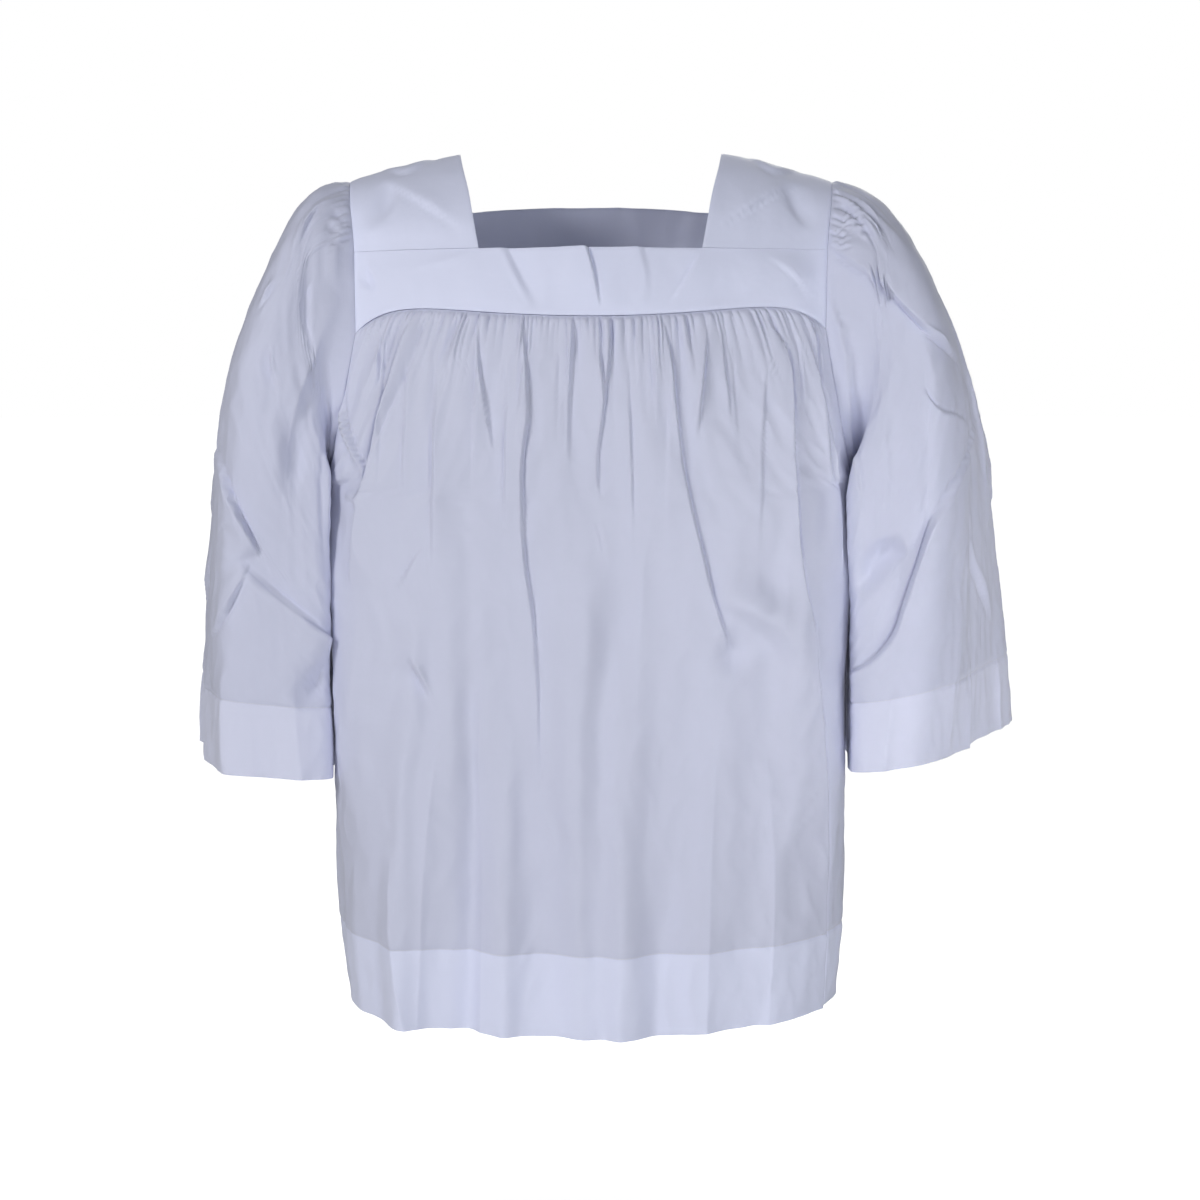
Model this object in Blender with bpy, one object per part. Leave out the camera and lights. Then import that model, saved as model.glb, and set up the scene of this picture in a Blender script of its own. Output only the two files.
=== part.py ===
"""A gathered surplice with a square neck, worn and hollow, as eight sewn pieces of cloth.

Run with: blender --background --python part.py

The frame has +Z up and the front facing -Y. The origin lies midway between the two shoulders
that carry the garment, level with the neck end of the shoulder straps. "Left" and "right" are
as seen from the front, so the right side is +X. The tables are in millimetres.

Each piece is a sheet that is lofted through cross curves, given its gathers and folds as relief
along its own normals, and then extruded inwards by the thickness of the cloth. Pieces that are
sewn together share the line of their seam and the direction of their walls there.
"""

import math
import random
from collections import namedtuple

import bmesh
import bpy
import numpy as np

MM = 0.001

# The cloth and its seams.
CLOTH = 1.6  # wall of a single layer
HEM_WALL = 2.6  # wall where the hem is turned up inside
SEAM_GAP = 0.3  # between the pieces that a seam joins
LEFT, RIGHT = -1, 1

# The yoke: cross curves from the front gathering seam, over the shoulders, to the back one.
# mid_* is on the centre line, arm_* at the armhole, and neck_x is where the neck opening ends.
# tilt raises the right end and lowers the left one, and droop lowers both ends.
YokeCurve = namedtuple("YokeCurve", "mid_y mid_z arm_x arm_y arm_z neck_x tilt droop")
YOKE = (
    YokeCurve(-112, -141, 202, -77, -124, 95, 2, 30),
    YokeCurve(-106, -112, 203, -70, -105, 95, 2, 12),
    YokeCurve(-98, -84, 204, -61, -86, 95, 1, 0),
    YokeCurve(-83, -57, 206, -54, -66, 100, 0, 0),
    YokeCurve(-62, -31, 209, -42, -46, 105, 0, 0),
    YokeCurve(-37, -8, 211, -25, -31, 111, 0, 0),
    YokeCurve(-6, 9, 213, -4, -24, 115, 0, 0),
    YokeCurve(25, 5, 213, 17, -27, 116, 0, 0),
    YokeCurve(52, -12, 212, 35, -39, 114, 0, 0),
    YokeCurve(78, -42, 209, 52, -60, 110, 0, 0),
    YokeCurve(93, -70, 207, 62, -86, 105, 0, 0),
    YokeCurve(105, -99, 205, 71, -113, 100, 0, 0),
)
FRONT_SEAM, FRONT_TOP, BACK_TOP, BACK_SEAM = 0, 2, 9, 11

# The body below the yoke: half rings from one edge over the middle to the other. Above the
# underarm the edge is the armhole, and below it the side seam. flat and corner shape the half
# ring: (2, 1) is a parabola, and equal numbers give a superellipse.
BodyCurve = namedtuple("BodyCurve", "mid_y mid_z edge_x edge_y edge_z flat corner")
FRONT_BODY = (
    BodyCurve(-121, -180, 207, -80, -184, 2.2, 1.3),
    BodyCurve(-126, -218, 213, -80, -216, 2.5, 1.6),
    BodyCurve(-129, -255, 221, -68, -252, 2.9, 2.1),
    BodyCurve(-130, -285, 227, -44, -278, 3.3, 2.7),
    BodyCurve(-131, -310, 232, -9, -293, 3.5, 3.1),
    BodyCurve(-131, -352, 232, -20, -344, 3.6, 3.3),
    BodyCurve(-131, -432, 227.5, -28, -428, 3.7, 3.4),
    BodyCurve(-130, -530, 227.5, -30, -526, 3.6, 3.4),
    BodyCurve(-129, -620, 226, -28, -614, 3.4, 3.2),
    BodyCurve(-129, -692, 225, -25, -682, 3.1, 3.0),
    BodyCurve(-128, -763, 220, -22, -749, 2.9, 2.8),
)
BACK_BODY = (
    BodyCurve(114, -140, 204, 70, -152, 2.2, 1.2),
    BodyCurve(120, -182, 208, 66, -195, 2.5, 1.5),
    BodyCurve(124, -225, 217, 52, -238, 2.8, 2.0),
    BodyCurve(126, -262, 227, 26, -276, 3.0, 2.4),
    BodyCurve(127, -298, 232, -9, -293, 3.0, 2.5),
    BodyCurve(128, -346, 232, -20, -344, 3.0, 2.6),
    BodyCurve(130, -430, 227.5, -28, -428, 3.0, 2.7),
    BodyCurve(132, -528, 227.5, -30, -526, 2.9, 2.7),
    BodyCurve(134, -618, 226, -28, -614, 2.8, 2.7),
    BodyCurve(135, -690, 225, -25, -682, 2.7, 2.6),
    BodyCurve(134, -761, 220, -22, -749, 2.5, 2.4),
)
UNDERARM = 4  # the row where the armhole ends and the side seam starts

# The sleeves: rings from just outside the armhole to the cuff, each a rounded four-sided shape
# between a front and a back, an inner side along the body and an outer side. tuck is how far
# the front's inner edge turns back along the body, and lean how far it comes in towards it.
SleeveRing = namedtuple(
    "SleeveRing", "front_y back_y in_x out_front_x out_back_x in_z out_z square tuck lean"
)
LEFT_SLEEVE = (
    SleeveRing(-84, 80, 242, 236, 238, -299, -28, 2.5, 40, 0),
    SleeveRing(-91, 90, 247, 256, 260, -306, -46, 2.7, 46, 4),
    SleeveRing(-97, 99, 244, 281, 289, -318, -97, 3.2, 30, 18),
    SleeveRing(-99, 106, 241, 299, 313, -338, -150, 3.8, 18, 22),
    SleeveRing(-99, 112, 238, 312, 334, -364, -207, 4.4, 14, 23),
    SleeveRing(-98, 117, 235, 320, 351, -396, -266, 4.8, 12, 22),
    SleeveRing(-97, 121, 233, 325, 362, -430, -330, 5.0, 12, 22),
    SleeveRing(-96, 124, 232.5, 328, 370, -460, -398, 5.2, 12, 22),
    SleeveRing(-95, 126, 232.5, 329, 376, -481, -470, 5.4, 12, 22),
    SleeveRing(-94, 127, 232.5, 329, 380, -546, -538, 5.4, 12, 22),
)
RIGHT_SLEEVE = (
    SleeveRing(-85, 80, 241, 238, 240, -297, -31, 2.5, 44, 0),
    SleeveRing(-94, 92, 247, 263, 272, -306, -51, 2.7, 48, 4),
    SleeveRing(-102, 104, 244, 288, 306, -318, -96, 3.1, 32, 18),
    SleeveRing(-106, 115, 241, 304, 337, -336, -147, 3.5, 20, 22),
    SleeveRing(-108, 124, 238, 312, 364, -361, -203, 3.9, 16, 23),
    SleeveRing(-109, 131, 235, 314, 384, -392, -262, 4.2, 14, 23),
    SleeveRing(-109, 137, 233, 312, 399, -425, -326, 4.4, 14, 23),
    SleeveRing(-108, 142, 232.5, 307, 411, -455, -394, 4.5, 14, 23),
    SleeveRing(-107, 146, 232.5, 301, 421, -477, -460, 4.6, 14, 23),
    SleeveRing(-106, 149, 232.5, 295, 429, -538, -527, 4.6, 14, 23),
)

# Gathers: how many a seam holds, how far each stands out, and how far it runs from the seam.
Gathering = namedtuple("Gathering", "count height reach_low reach_high seed")
FRONT_GATHERS = Gathering(48, 3.4, 35, 190, 11)
BACK_GATHERS = Gathering(48, 3.4, 35, 190, 23)
HEAD_GATHERS = Gathering(16, 4.6, 45, 130, 5)
SEAM_SPAN = 0.96  # share of the yoke seam that the body's gathers fill
HEAD_SPAN = 0.14  # share of the armhole, each side of the shoulder, that the head gathers fill
GATHER_RISE = 5.0  # distance from the seam in which a gather opens

# Folds: a curve through three points of the front or back view, the height at each point, and
# the width to the left and right of it. A negative height is a groove.
Fold = namedtuple("Fold", "x0 z0 h0 x1 z1 h1 x2 z2 h2 left right")
YOKE_FOLDS = (Fold(-4, -82, 7, 2, -104, 5, 9, -130, 1, 34, 5),)
FRONT_FOLDS = (
    Fold(-64, -150, 5, -66, -400, 8, -52, -740, 7, 20, 9),
    Fold(64, -150, 5, 88, -290, 8, 122, -430, 3, 22, 8),
    Fold(190, -165, 4, 193, -330, 9, 205, -520, 7, 9, 16),
    Fold(-152, -150, 4, -176, -260, 9, -208, -360, 5, 8, 22),
    Fold(-196, -170, 5, -206, -215, 6, -190, -275, 3, 8, 9),
    Fold(122, -430, -4, 150, -450, -3, 186, -480, 0, 14, 14),
    Fold(20, -330, 3, 26, -520, 6, 30, -740, 6, 26, 22),
    Fold(110, -480, 3, 104, -600, 6, 100, -740, 6, 24, 22),
    Fold(-130, -500, 3, -142, -620, 6, -146, -740, 7, 22, 14),
)
BACK_FOLDS = (
    Fold(-120, -130, 4, -128, -400, 8, -140, -740, 9, 18, 14),
    Fold(-62, -125, 4, -60, -420, 9, -54, -740, 9, 14, 18),
    Fold(8, -120, 4, 4, -400, 8, 10, -740, 9, 18, 12),
    Fold(72, -125, 4, 66, -420, 9, 70, -740, 9, 14, 18),
    Fold(128, -130, 4, 136, -400, 8, 142, -740, 9, 16, 14),
    Fold(-186, -200, 3, -192, -420, 7, -190, -740, 7, 14, 12),
    Fold(186, -200, 3, 192, -420, 7, 190, -740, 7, 12, 14),
)
LEFT_SLEEVE_FOLDS = (
    Fold(-262, -66, 4, -276, -190, 7, -268, -330, 4, 16, 12),
    Fold(-232, -75, 3, -243, -160, 7, -240, -270, 4, 10, 12),
    Fold(-346, -285, 5, -330, -318, 6, -312, -350, 1, 14, 5),
    Fold(-318, -368, 5, -274, -402, 8, -222, -436, 4, 20, 6),
    Fold(-318, -368, 2, -334, -400, 5, -352, -438, 2, 12, 10),
)
RIGHT_SLEEVE_FOLDS = (
    Fold(222, -58, 4, 262, -94, 6, 300, -150, 2, 12, 14),
    Fold(214, -90, 4, 272, -140, 9, 345, -205, 4, 18, 9),
    Fold(372, -262, 5, 318, -345, 8, 284, -440, 5, 16, 7),
    Fold(284, -440, 5, 256, -470, 6, 230, -486, 3, 14, 7),
    Fold(236, -190, 5, 240, -300, 8, 236, -420, 5, 10, 14),
)
SLEEVE_BACK_FOLDS = (
    Fold(244, -70, 4, 272, -180, 8, 282, -330, 5, 16, 14),
    Fold(228, -90, 4, 246, -200, 7, 250, -340, 4, 12, 14),
    Fold(356, -280, 5, 318, -350, 8, 276, -430, 4, 18, 9),
)

# The mesh: distances down each piece at which it has a row of points, and columns across.
BODY_ROWS = (0, 4, 12, 26, 48)  # with two columns a gather
SLEEVE_ROWS = (0, 4, 11, 24, 44)
BODY_COLUMNS = 37  # below the gathers
BODY_STEP = 50
SLEEVE_COLUMNS = (9, 5, 19)  # up to the front inner corner, round it, and from it to the top
SLEEVE_STEP = 48
STRAP_COLUMNS = 7
BAND_COLUMNS = 17  # between the straps
BODY_HEM = 71  # depth of the turned-up hem
SLEEVE_HEM = 66
STITCH_GROOVE = 1.0  # pulled in by the line of hem stitches
STITCH_WIDTH = 3.0
STITCH_ROWS = 6  # how far from the stitches the rows beside their groove lie
FACING_GAIN = 1.4  # folds fade where the cloth turns away from the front or back
EDGE_FADE = 10  # power with which relief fades towards the edges of a body panel
MITRE_LIMIT = 0.72  # keeps the corners of the armhole seams from growing long
SLOPE_STEP = 1.5  # distance over which normals are measured
CURVE_SAMPLES = 181
CORNER_AT = (0.28, 0.44)  # the columns round a sleeve's front inner corner
TUCK_POWERS = (3, 5)  # how a sleeve's tuck fades towards its back and its outer side
LEAN_POWERS = (10, 3)  # how its lean fades the same way

SHADES = {
    "front_panel": (0.80, 0.81, 0.90),
    "back_panel": (0.79, 0.80, 0.89),
    "left_sleeve": (0.78, 0.79, 0.88),
    "right_sleeve": (0.78, 0.79, 0.88),
    "front_yoke": (0.82, 0.83, 0.92),
    "back_yoke": (0.81, 0.82, 0.91),
    "left_strap": (0.82, 0.83, 0.92),
    "right_strap": (0.82, 0.83, 0.92),
}

# A row of points across a piece: their shares, the outer face, and the vectors through the wall.
Row = namedtuple("Row", "u outer wall")


# ---------------------------------------------------------------- curves and lofts


def lengths_along(points):
    """Distance of each point from the first one along the line of points."""
    steps = np.linalg.norm(np.diff(points, axis=0), axis=1)
    return np.concatenate([[0.0], np.cumsum(steps)])


def resample(points, shares):
    """Points at these shares of the length of a line of points."""
    along = lengths_along(points)
    at = np.clip(shares, 0.0, 1.0) * along[-1]
    return np.stack([np.interp(at, along, points[:, k]) for k in range(3)], axis=1)


def unit(vectors):
    """The vectors at length one."""
    length = np.linalg.norm(vectors, axis=-1, keepdims=True)
    return vectors / np.maximum(length, 1e-9)


class Sheet:
    """A sheet lofted through cross curves, with relief along its normals.

    A curve gives points for shares u across the sheet, and `at` is the distance down it from
    its first curve. `outward` is roughly the direction its outer face has in its middle.
    """

    def __init__(self, curves, relief, outward, reach=(-1.0, 1.0), probe=0.0):
        self.curves = curves
        self.relief = relief
        self.reach = reach
        self.turn = 1.0
        marks = np.array([curve(np.array([reach[0], probe, reach[1]])) for curve in curves])
        steps = np.linalg.norm(np.diff(marks, axis=0), axis=2).mean(axis=1)
        self.stations = np.concatenate([[0.0], np.cumsum(steps)])
        middle = self.normal(self.length / 2, np.array([probe]))[0]
        self.turn = 1.0 if middle @ np.array(outward, float) > 0 else -1.0

    @property
    def length(self):
        return self.stations[-1]

    def base(self, at, u):
        """The sheet without relief: a smooth curve through the cross curves."""
        rows = np.array([curve(u) for curve in self.curves])
        stations, last = self.stations, len(self.stations) - 1
        k = int(np.clip(np.searchsorted(stations, at, side="right") - 1, 0, last - 1))

        def slope(i):
            low, high = max(i - 1, 0), min(i + 1, last)
            return (rows[high] - rows[low]) / (stations[high] - stations[low])

        span = stations[k + 1] - stations[k]
        t = (at - stations[k]) / span
        return (
            (2 * t**3 - 3 * t**2 + 1) * rows[k]
            + (t**3 - 2 * t**2 + t) * span * slope(k)
            + (3 * t**2 - 2 * t**3) * rows[k + 1]
            + (t**3 - t**2) * span * slope(k + 1)
        )

    def normal(self, at, u):
        """Outward normals of the sheet without relief."""
        low, high = self.reach
        step = SLOPE_STEP / 200
        left = self.base(at, np.maximum(u - step, low))
        right = self.base(at, np.minimum(u + step, high))
        above = self.base(max(at - SLOPE_STEP, 0.0), u)
        below = self.base(min(at + SLOPE_STEP, self.length), u)
        return unit(np.cross(right - left, below - above)) * self.turn

    def row(self, at, u, thickness):
        """A row of the sheet at these shares, with a wall of this thickness."""
        bare, out = self.base(at, u), self.normal(at, u)
        height = self.relief(at, u, bare, out)
        return Row(u, bare + out * height[:, None], out * thickness)


# ---------------------------------------------------------------- relief


def gather_lines(gathering, low, high):
    """The edges of the gathers as shares of the seam, and each one's height and reach."""
    draw = random.Random(gathering.seed)
    widths = np.array([draw.uniform(0.65, 1.35) for _ in range(gathering.count)])
    edges = low + (high - low) * np.concatenate([[0.0], np.cumsum(widths)]) / widths.sum()
    heights = np.array([draw.uniform(0.6, 1.0) for _ in widths]) * gathering.height
    longer = gathering.reach_high - gathering.reach_low
    reaches = gathering.reach_low + longer * np.array([draw.random() ** 2 for _ in widths])
    return edges, heights, reaches


def gather_relief(lines, at, u):
    """Height of the gathers at distance `at` from their seam."""
    edges, heights, reaches = lines
    k = np.clip(np.searchsorted(edges, u, side="right") - 1, 0, len(heights) - 1)
    share = np.clip((u - edges[k]) / (edges[k + 1] - edges[k]), 0.0, 1.0)
    fade = np.exp(-((at / reaches[k]) ** 2))
    return heights[k] * np.sin(math.pi * share) ** 2 * opening(at) * fade


def opening(at):
    """How far gathers and folds have opened at this distance from the seam."""
    return 1.0 - math.exp(-((at / GATHER_RISE) ** 2))


def fold_line(fold):
    """Points along a fold, as rows of x, z and height."""
    t = np.linspace(0.0, 1.0, 13)[:, None]
    first = np.array([fold.x0, fold.z0, fold.h0], float)
    middle = np.array([fold.x1, fold.z1, fold.h1], float)
    last = np.array([fold.x2, fold.z2, fold.h2], float)
    pull = 2 * middle - (first + last) / 2
    return (1 - t) ** 2 * first + 2 * t * (1 - t) * pull + t**2 * last


def fold_relief(folds, x, z):
    """Height of the folds at these points of the front or back view."""
    total = np.zeros(len(x))
    for fold in folds:
        line = fold_line(fold)
        start, way = line[:-1], np.diff(line, axis=0)
        gap = np.stack([x, z], axis=1)[:, None, :] - start[None, :, :2]
        share = np.einsum("nkc,kc->nk", gap, way[:, :2]) / (way[:, :2] ** 2).sum(axis=1)
        share = np.clip(share, 0.0, 1.0)
        distance = np.linalg.norm(gap - share[..., None] * way[None, :, :2], axis=2)
        near = distance.argmin(axis=1)
        pick = (np.arange(len(x)), near)
        side = way[near, 0] * gap[pick][:, 1] - way[near, 1] * gap[pick][:, 0]
        width = np.where(side > 0, fold.right, fold.left)
        height = start[near, 2] + share[pick] * way[near, 2]
        total += height * np.exp(-((distance[pick] / width) ** 2))
    return total


def stitch_relief(at, hem_at):
    """The shallow groove that a line of hem stitches pulls."""
    return -STITCH_GROOVE * math.exp(-(((at - hem_at) / STITCH_WIDTH) ** 2))


# ---------------------------------------------------------------- the cut of the pieces


def yoke_curve(row, s):
    """Points across the yoke at shares s of its half width."""
    bow = s**2
    return np.stack(
        [
            row.arm_x * s,
            row.mid_y + (row.arm_y - row.mid_y) * bow,
            row.mid_z + (row.arm_z - row.mid_z) * bow + row.tilt * s**3 - row.droop * s**8,
        ],
        axis=1,
    )


def band_sheet(rows, folds, facing):
    """A front or back band of the yoke, from its gathering seam up to the shoulder straps."""

    def relief(at, u, bare, out):
        return fold_relief(folds, bare[:, 0], bare[:, 2]) * opening(at)

    curves = [lambda u, row=row: yoke_curve(row, u) for row in rows]
    return Sheet(curves, relief, (0, facing, 0))


def strap_sheet(rows, side):
    """A shoulder strap, from the front band over the shoulder to the back band."""

    def curve(row):
        neck = row.neck_x / row.arm_x
        return lambda u: yoke_curve(row, side * (neck + (1 - neck) * u))

    def relief(at, u, bare, out):
        return np.zeros(len(u))

    return Sheet([curve(row) for row in rows], relief, (0, 0, 1), (0.0, 1.0), 0.5)


def half_ring(row):
    """The line of a half ring of the body, from the left edge over the middle to the right."""
    angle = np.linspace(-math.pi / 2, math.pi / 2, CURVE_SAMPLES)
    sine, cosine = np.sin(angle), np.clip(np.cos(angle), 0.0, 1.0)
    s = np.sign(sine) * np.abs(sine) ** (2 / row.flat)
    bulge = cosine ** (2 / row.corner)
    return np.stack(
        [
            row.edge_x * s,
            row.edge_y + (row.mid_y - row.edge_y) * bulge,
            row.edge_z + (row.mid_z - row.edge_z) * (1 - s**2),
        ],
        axis=1,
    )


def body_sheet(seam_row, rows, gathers, folds, facing):
    """The front or back of the body, hanging from a seam row of the yoke."""
    gap = np.array([0.0, facing * SEAM_GAP / 2, 0.0])
    lines = [half_ring(row) + gap for row in rows]
    curves = [lambda u: yoke_curve(seam_row, u) - [0.0, 0.0, SEAM_GAP]]
    curves += [lambda u, line=line: resample(line, (u + 1) / 2) for line in lines]

    def relief(at, u, bare, out):
        facing_out = np.clip(FACING_GAIN * np.abs(out[:, 1]), 0.0, 1.0)
        folds_here = fold_relief(folds, bare[:, 0], bare[:, 2]) * facing_out * opening(at)
        gathers_here = gather_relief(gathers, at, u)
        hem = stitch_relief(at, sheet.length - BODY_HEM)
        return (folds_here + gathers_here + hem) * (1.0 - np.abs(u) ** EDGE_FADE)

    sheet = Sheet(curves, relief, (0, facing, 0))
    return sheet


def ring_line(ring, side):
    """The closed line of a sleeve ring: from the outside over the front, inside and back."""
    angle = np.linspace(0.0, 2 * math.pi, 2 * CURVE_SAMPLES - 1)
    power = 2 / ring.square
    sine, cosine = np.sin(angle), np.cos(angle)
    outer = (np.sign(cosine) * np.abs(cosine) ** power + 1) / 2
    front = (np.sign(sine) * np.abs(sine) ** power + 1) / 2
    tucked = ring.tuck * front ** TUCK_POWERS[0] * (1 - outer) ** TUCK_POWERS[1]
    leaned = ring.lean * front ** LEAN_POWERS[0] * (1 - outer) ** LEAN_POWERS[1]
    outer_x = ring.out_back_x + (ring.out_front_x - ring.out_back_x) * front
    return np.stack(
        [
            side * (ring.in_x + (outer_x - ring.in_x) * outer - leaned),
            ring.back_y + (ring.front_y - ring.back_y) * front + tucked,
            ring.in_z + (ring.out_z - ring.in_z) * outer,
        ],
        axis=1,
    )


def closed_curve(line, half):
    """A curve round a closed line: u is 0 at its first point and 0.5 at the one called half."""
    front, back = line[: half + 1], line[half:]

    def curve(u):
        u = np.mod(u, 1.0)
        first, second = resample(front, u * 2), resample(back, u * 2 - 1)
        return np.where((u < 0.5)[:, None], first, second)

    return curve


def sleeve_sheet(armhole, half, rings, side, gathers, folds):
    """A sleeve from the line of the armhole to the cuff. half is the armhole's lowest point."""
    closed = np.concatenate([armhole, armhole[:1]])
    lines = [ring_line(ring, side) for ring in rings]
    curves = [closed_curve(closed, half)]
    curves += [closed_curve(line, CURVE_SAMPLES - 1) for line in lines]

    def relief(at, u, bare, out):
        around = np.mod(u + 0.5, 1.0) - 0.5
        head = np.where(np.abs(around) < HEAD_SPAN, gather_relief(gathers, at, around), 0.0)
        x, z = bare[:, 0], bare[:, 2]
        front = fold_relief(folds, x, z)
        front *= np.clip(-FACING_GAIN * out[:, 1], 0.0, 1.0)
        back = fold_relief(SLEEVE_BACK_FOLDS, np.abs(x), z)
        back *= np.clip(FACING_GAIN * out[:, 1], 0.0, 1.0)
        hem = stitch_relief(at, sheet.length - SLEEVE_HEM)
        return head + (front + back) * opening(at) + hem

    sheet = Sheet(curves, relief, (side, 0, 0.5), reach=(-9.0, 9.0), probe=0.0)
    return sheet


# ---------------------------------------------------------------- rows of points


def gather_columns(edges):
    """Columns at both edges and the middle of every gather."""
    middles = (edges[:-1] + edges[1:]) / 2
    return np.sort(np.concatenate([edges, middles]))


def hem_rows(sheet, columns, depth):
    """The last rows of a sheet, where its hem is turned up and stitched."""
    last = sheet.length
    plan = (
        (last - depth - STITCH_ROWS, CLOTH),
        (last - depth, CLOTH),
        (last - depth + 1, HEM_WALL),
        (last - depth + 1 + STITCH_ROWS, HEM_WALL),
        (last, HEM_WALL),
    )
    return [sheet.row(at, columns, thickness) for at, thickness in plan]


def body_rows(sheet, gathers):
    """The rows of a body panel. One of them passes through the underarm."""
    underarm = sheet.stations[UNDERARM + 1]
    fine = np.concatenate([[-1.0], gather_columns(gathers[0]), [1.0]])
    medium = np.linspace(-1.0, 1.0, BODY_COLUMNS + 14)
    coarse = np.linspace(-1.0, 1.0, BODY_COLUMNS)
    stop = sheet.length - BODY_HEM - STITCH_ROWS
    count = round((stop - underarm) / BODY_STEP)
    below = np.linspace(underarm, stop, count + 1)[:-1]
    rows = [sheet.row(at, fine, CLOTH) for at in BODY_ROWS]
    rows.append(sheet.row(sheet.stations[2], medium, CLOTH))
    last_curve = (sheet.stations[UNDERARM] + underarm) / 2
    armhole = [*sheet.stations[3 : UNDERARM + 1], last_curve]
    rows += [sheet.row(at, coarse, CLOTH) for at in armhole]
    rows += [sheet.row(at, coarse, CLOTH) for at in below]
    return rows + hem_rows(sheet, coarse, BODY_HEM)


def sleeve_rows(sheet, gathers):
    """The rows of a sleeve below its seam."""
    head = gather_columns(gathers[0])
    under = np.linspace(HEAD_SPAN, 1.0 - HEAD_SPAN, 27)[1:-1]
    fine = np.sort(np.mod(np.concatenate([head, under]), 1.0))
    front, corner, rest = SLEEVE_COLUMNS
    coarse = np.concatenate(
        [
            np.linspace(0.0, CORNER_AT[0], front, endpoint=False),
            np.linspace(*CORNER_AT, corner, endpoint=False),
            np.linspace(CORNER_AT[1], 1.0, rest, endpoint=False),
        ]
    )
    stop = sheet.length - SLEEVE_HEM - STITCH_ROWS
    count = round((stop - SLEEVE_ROWS[-1]) / SLEEVE_STEP)
    below = np.linspace(SLEEVE_ROWS[-1], stop, count + 1)[1:-1]
    rows = [sheet.row(at, fine, CLOTH) for at in SLEEVE_ROWS[1:]]
    rows += [sheet.row(at, coarse, CLOTH) for at in below]
    return rows + hem_rows(sheet, coarse, SLEEVE_HEM)


def strap_rows(sheet):
    """The rows of a strap, a seam gap short of the bands at both ends."""
    columns = np.linspace(0.0, 1.0, STRAP_COLUMNS)
    stops = sheet.stations.copy()
    stops[0] += SEAM_GAP
    stops[-1] -= SEAM_GAP
    return [sheet.row(at, columns, CLOTH) for at in stops]


def band_rows(sheet, seam_columns, neck, seam_first):
    """The rows of a yoke band, from its gathering seam to the neck edge."""
    arm = np.linspace(neck, 1.0, STRAP_COLUMNS)
    between = np.linspace(-neck, neck, BAND_COLUMNS)[1:-1]
    top = np.concatenate([-arm[::-1], between, arm])
    inner = sheet.stations[1:-1]
    ends = (0.0, sheet.length) if seam_first else (sheet.length, 0.0)
    middle = [sheet.row(at, top, CLOTH) for at in inner]
    if not seam_first:
        middle.reverse()
    first = sheet.row(ends[0], seam_columns, CLOTH)
    return [first, *middle, sheet.row(ends[1], top, CLOTH)]


# ---------------------------------------------------------------- the armhole seams


def mitre(body, sleeve):
    """Vectors through both walls at the seam, so that their edges lie face to face."""
    middle = unit(body + sleeve)
    half = np.einsum("nk,nk->n", middle, sleeve)
    return middle / np.clip(half, MITRE_LIMIT, 1.0)[:, None]


def armhole_places(strap, front, back, front_panel, back_panel, side, underarm):
    """The edge points round an armhole, from the shoulder down the front and up the back.

    Each place lists the (rows, row, column) of the one or two pieces that have a point there.
    underarm gives the front and back panels' rows at the underarm.
    """
    last = -1 if side == RIGHT else 0
    top = min(range(len(strap)), key=lambda k: abs(strap[k].outer[-1][1]))
    places = [[(strap, k, -1)] for k in range(top, -1, -1)]

    def add(rows, order, column):
        places[-1].append((rows, order[0], column))
        places.extend([(rows, k, column)] for k in order[1:])

    add(front, range(len(front) - 1, -1, -1), last)
    add(front_panel, range(0, underarm[0] + 1), last)
    half = len(places) - 1
    add(back_panel, range(underarm[1], -1, -1), last)
    add(back, range(0, len(back)), last)
    add(strap, range(len(strap) - 1, top, -1), -1)
    return places, half


def place_points(places):
    """The mean outer points and wall directions of the places."""
    points, walls = [], []
    for place in places:
        points.append(np.mean([rows[k].outer[c] for rows, k, c in place], axis=0))
        walls.append(np.mean([rows[k].wall[c] for rows, k, c in place], axis=0))
    return np.array(points), unit(np.array(walls))


def seam_shares(points, half):
    """Shares of a closed line's points, with 0.5 at the point called half."""
    front = lengths_along(points[: half + 1])
    back = lengths_along(np.concatenate([points[half:], points[:1]]))
    back_shares = 0.5 + 0.5 * back[1:-1] / back[-1]
    return np.concatenate([0.5 * front / front[-1], back_shares])


def sleeve_in_armhole(places, half, rings, side, folds):
    """The rows of a sleeve, and the walls of the body pieces turned to meet its seam."""
    points, body_walls = place_points(places)
    gathers = gather_lines(HEAD_GATHERS, -HEAD_SPAN, HEAD_SPAN)
    sheet = sleeve_sheet(points, half, rings, side, gathers, folds)
    shares = seam_shares(points, half)
    across = mitre(body_walls, sheet.normal(0.0, shares))
    for place, direction in zip(places, across):
        for rows, k, column in place:
            rows[k].wall[column] = direction * CLOTH
    tangent = np.roll(points, -1, axis=0) - np.roll(points, 1, axis=0)
    away = unit(np.cross(tangent, across))
    away *= np.sign(away[:, :1]) * side
    seam = Row(shares, points + away * SEAM_GAP, across * CLOTH)
    return [seam] + sleeve_rows(sheet, gathers)


# ---------------------------------------------------------------- meshes


def strip(first, second, first_start, second_start, closed):
    """Triangles between two rows of points that may have different columns."""
    low, high = first.u, second.u
    if closed:
        low, high = np.append(low, low[0] + 1.0), np.append(high, high[0] + 1.0)
    faces, i, j = [], 0, 0
    while i < len(low) - 1 or j < len(high) - 1:
        at_low = low[i] + low[i + 1] if i < len(low) - 1 else math.inf
        at_high = high[j] + high[j + 1] if j < len(high) - 1 else math.inf
        a = first_start + i % len(first.u)
        b = second_start + j % len(second.u)
        if at_low <= at_high:
            faces.append((a, first_start + (i + 1) % len(first.u), b))
            i += 1
        else:
            faces.append((a, second_start + (j + 1) % len(second.u), b))
            j += 1
    return faces


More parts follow.
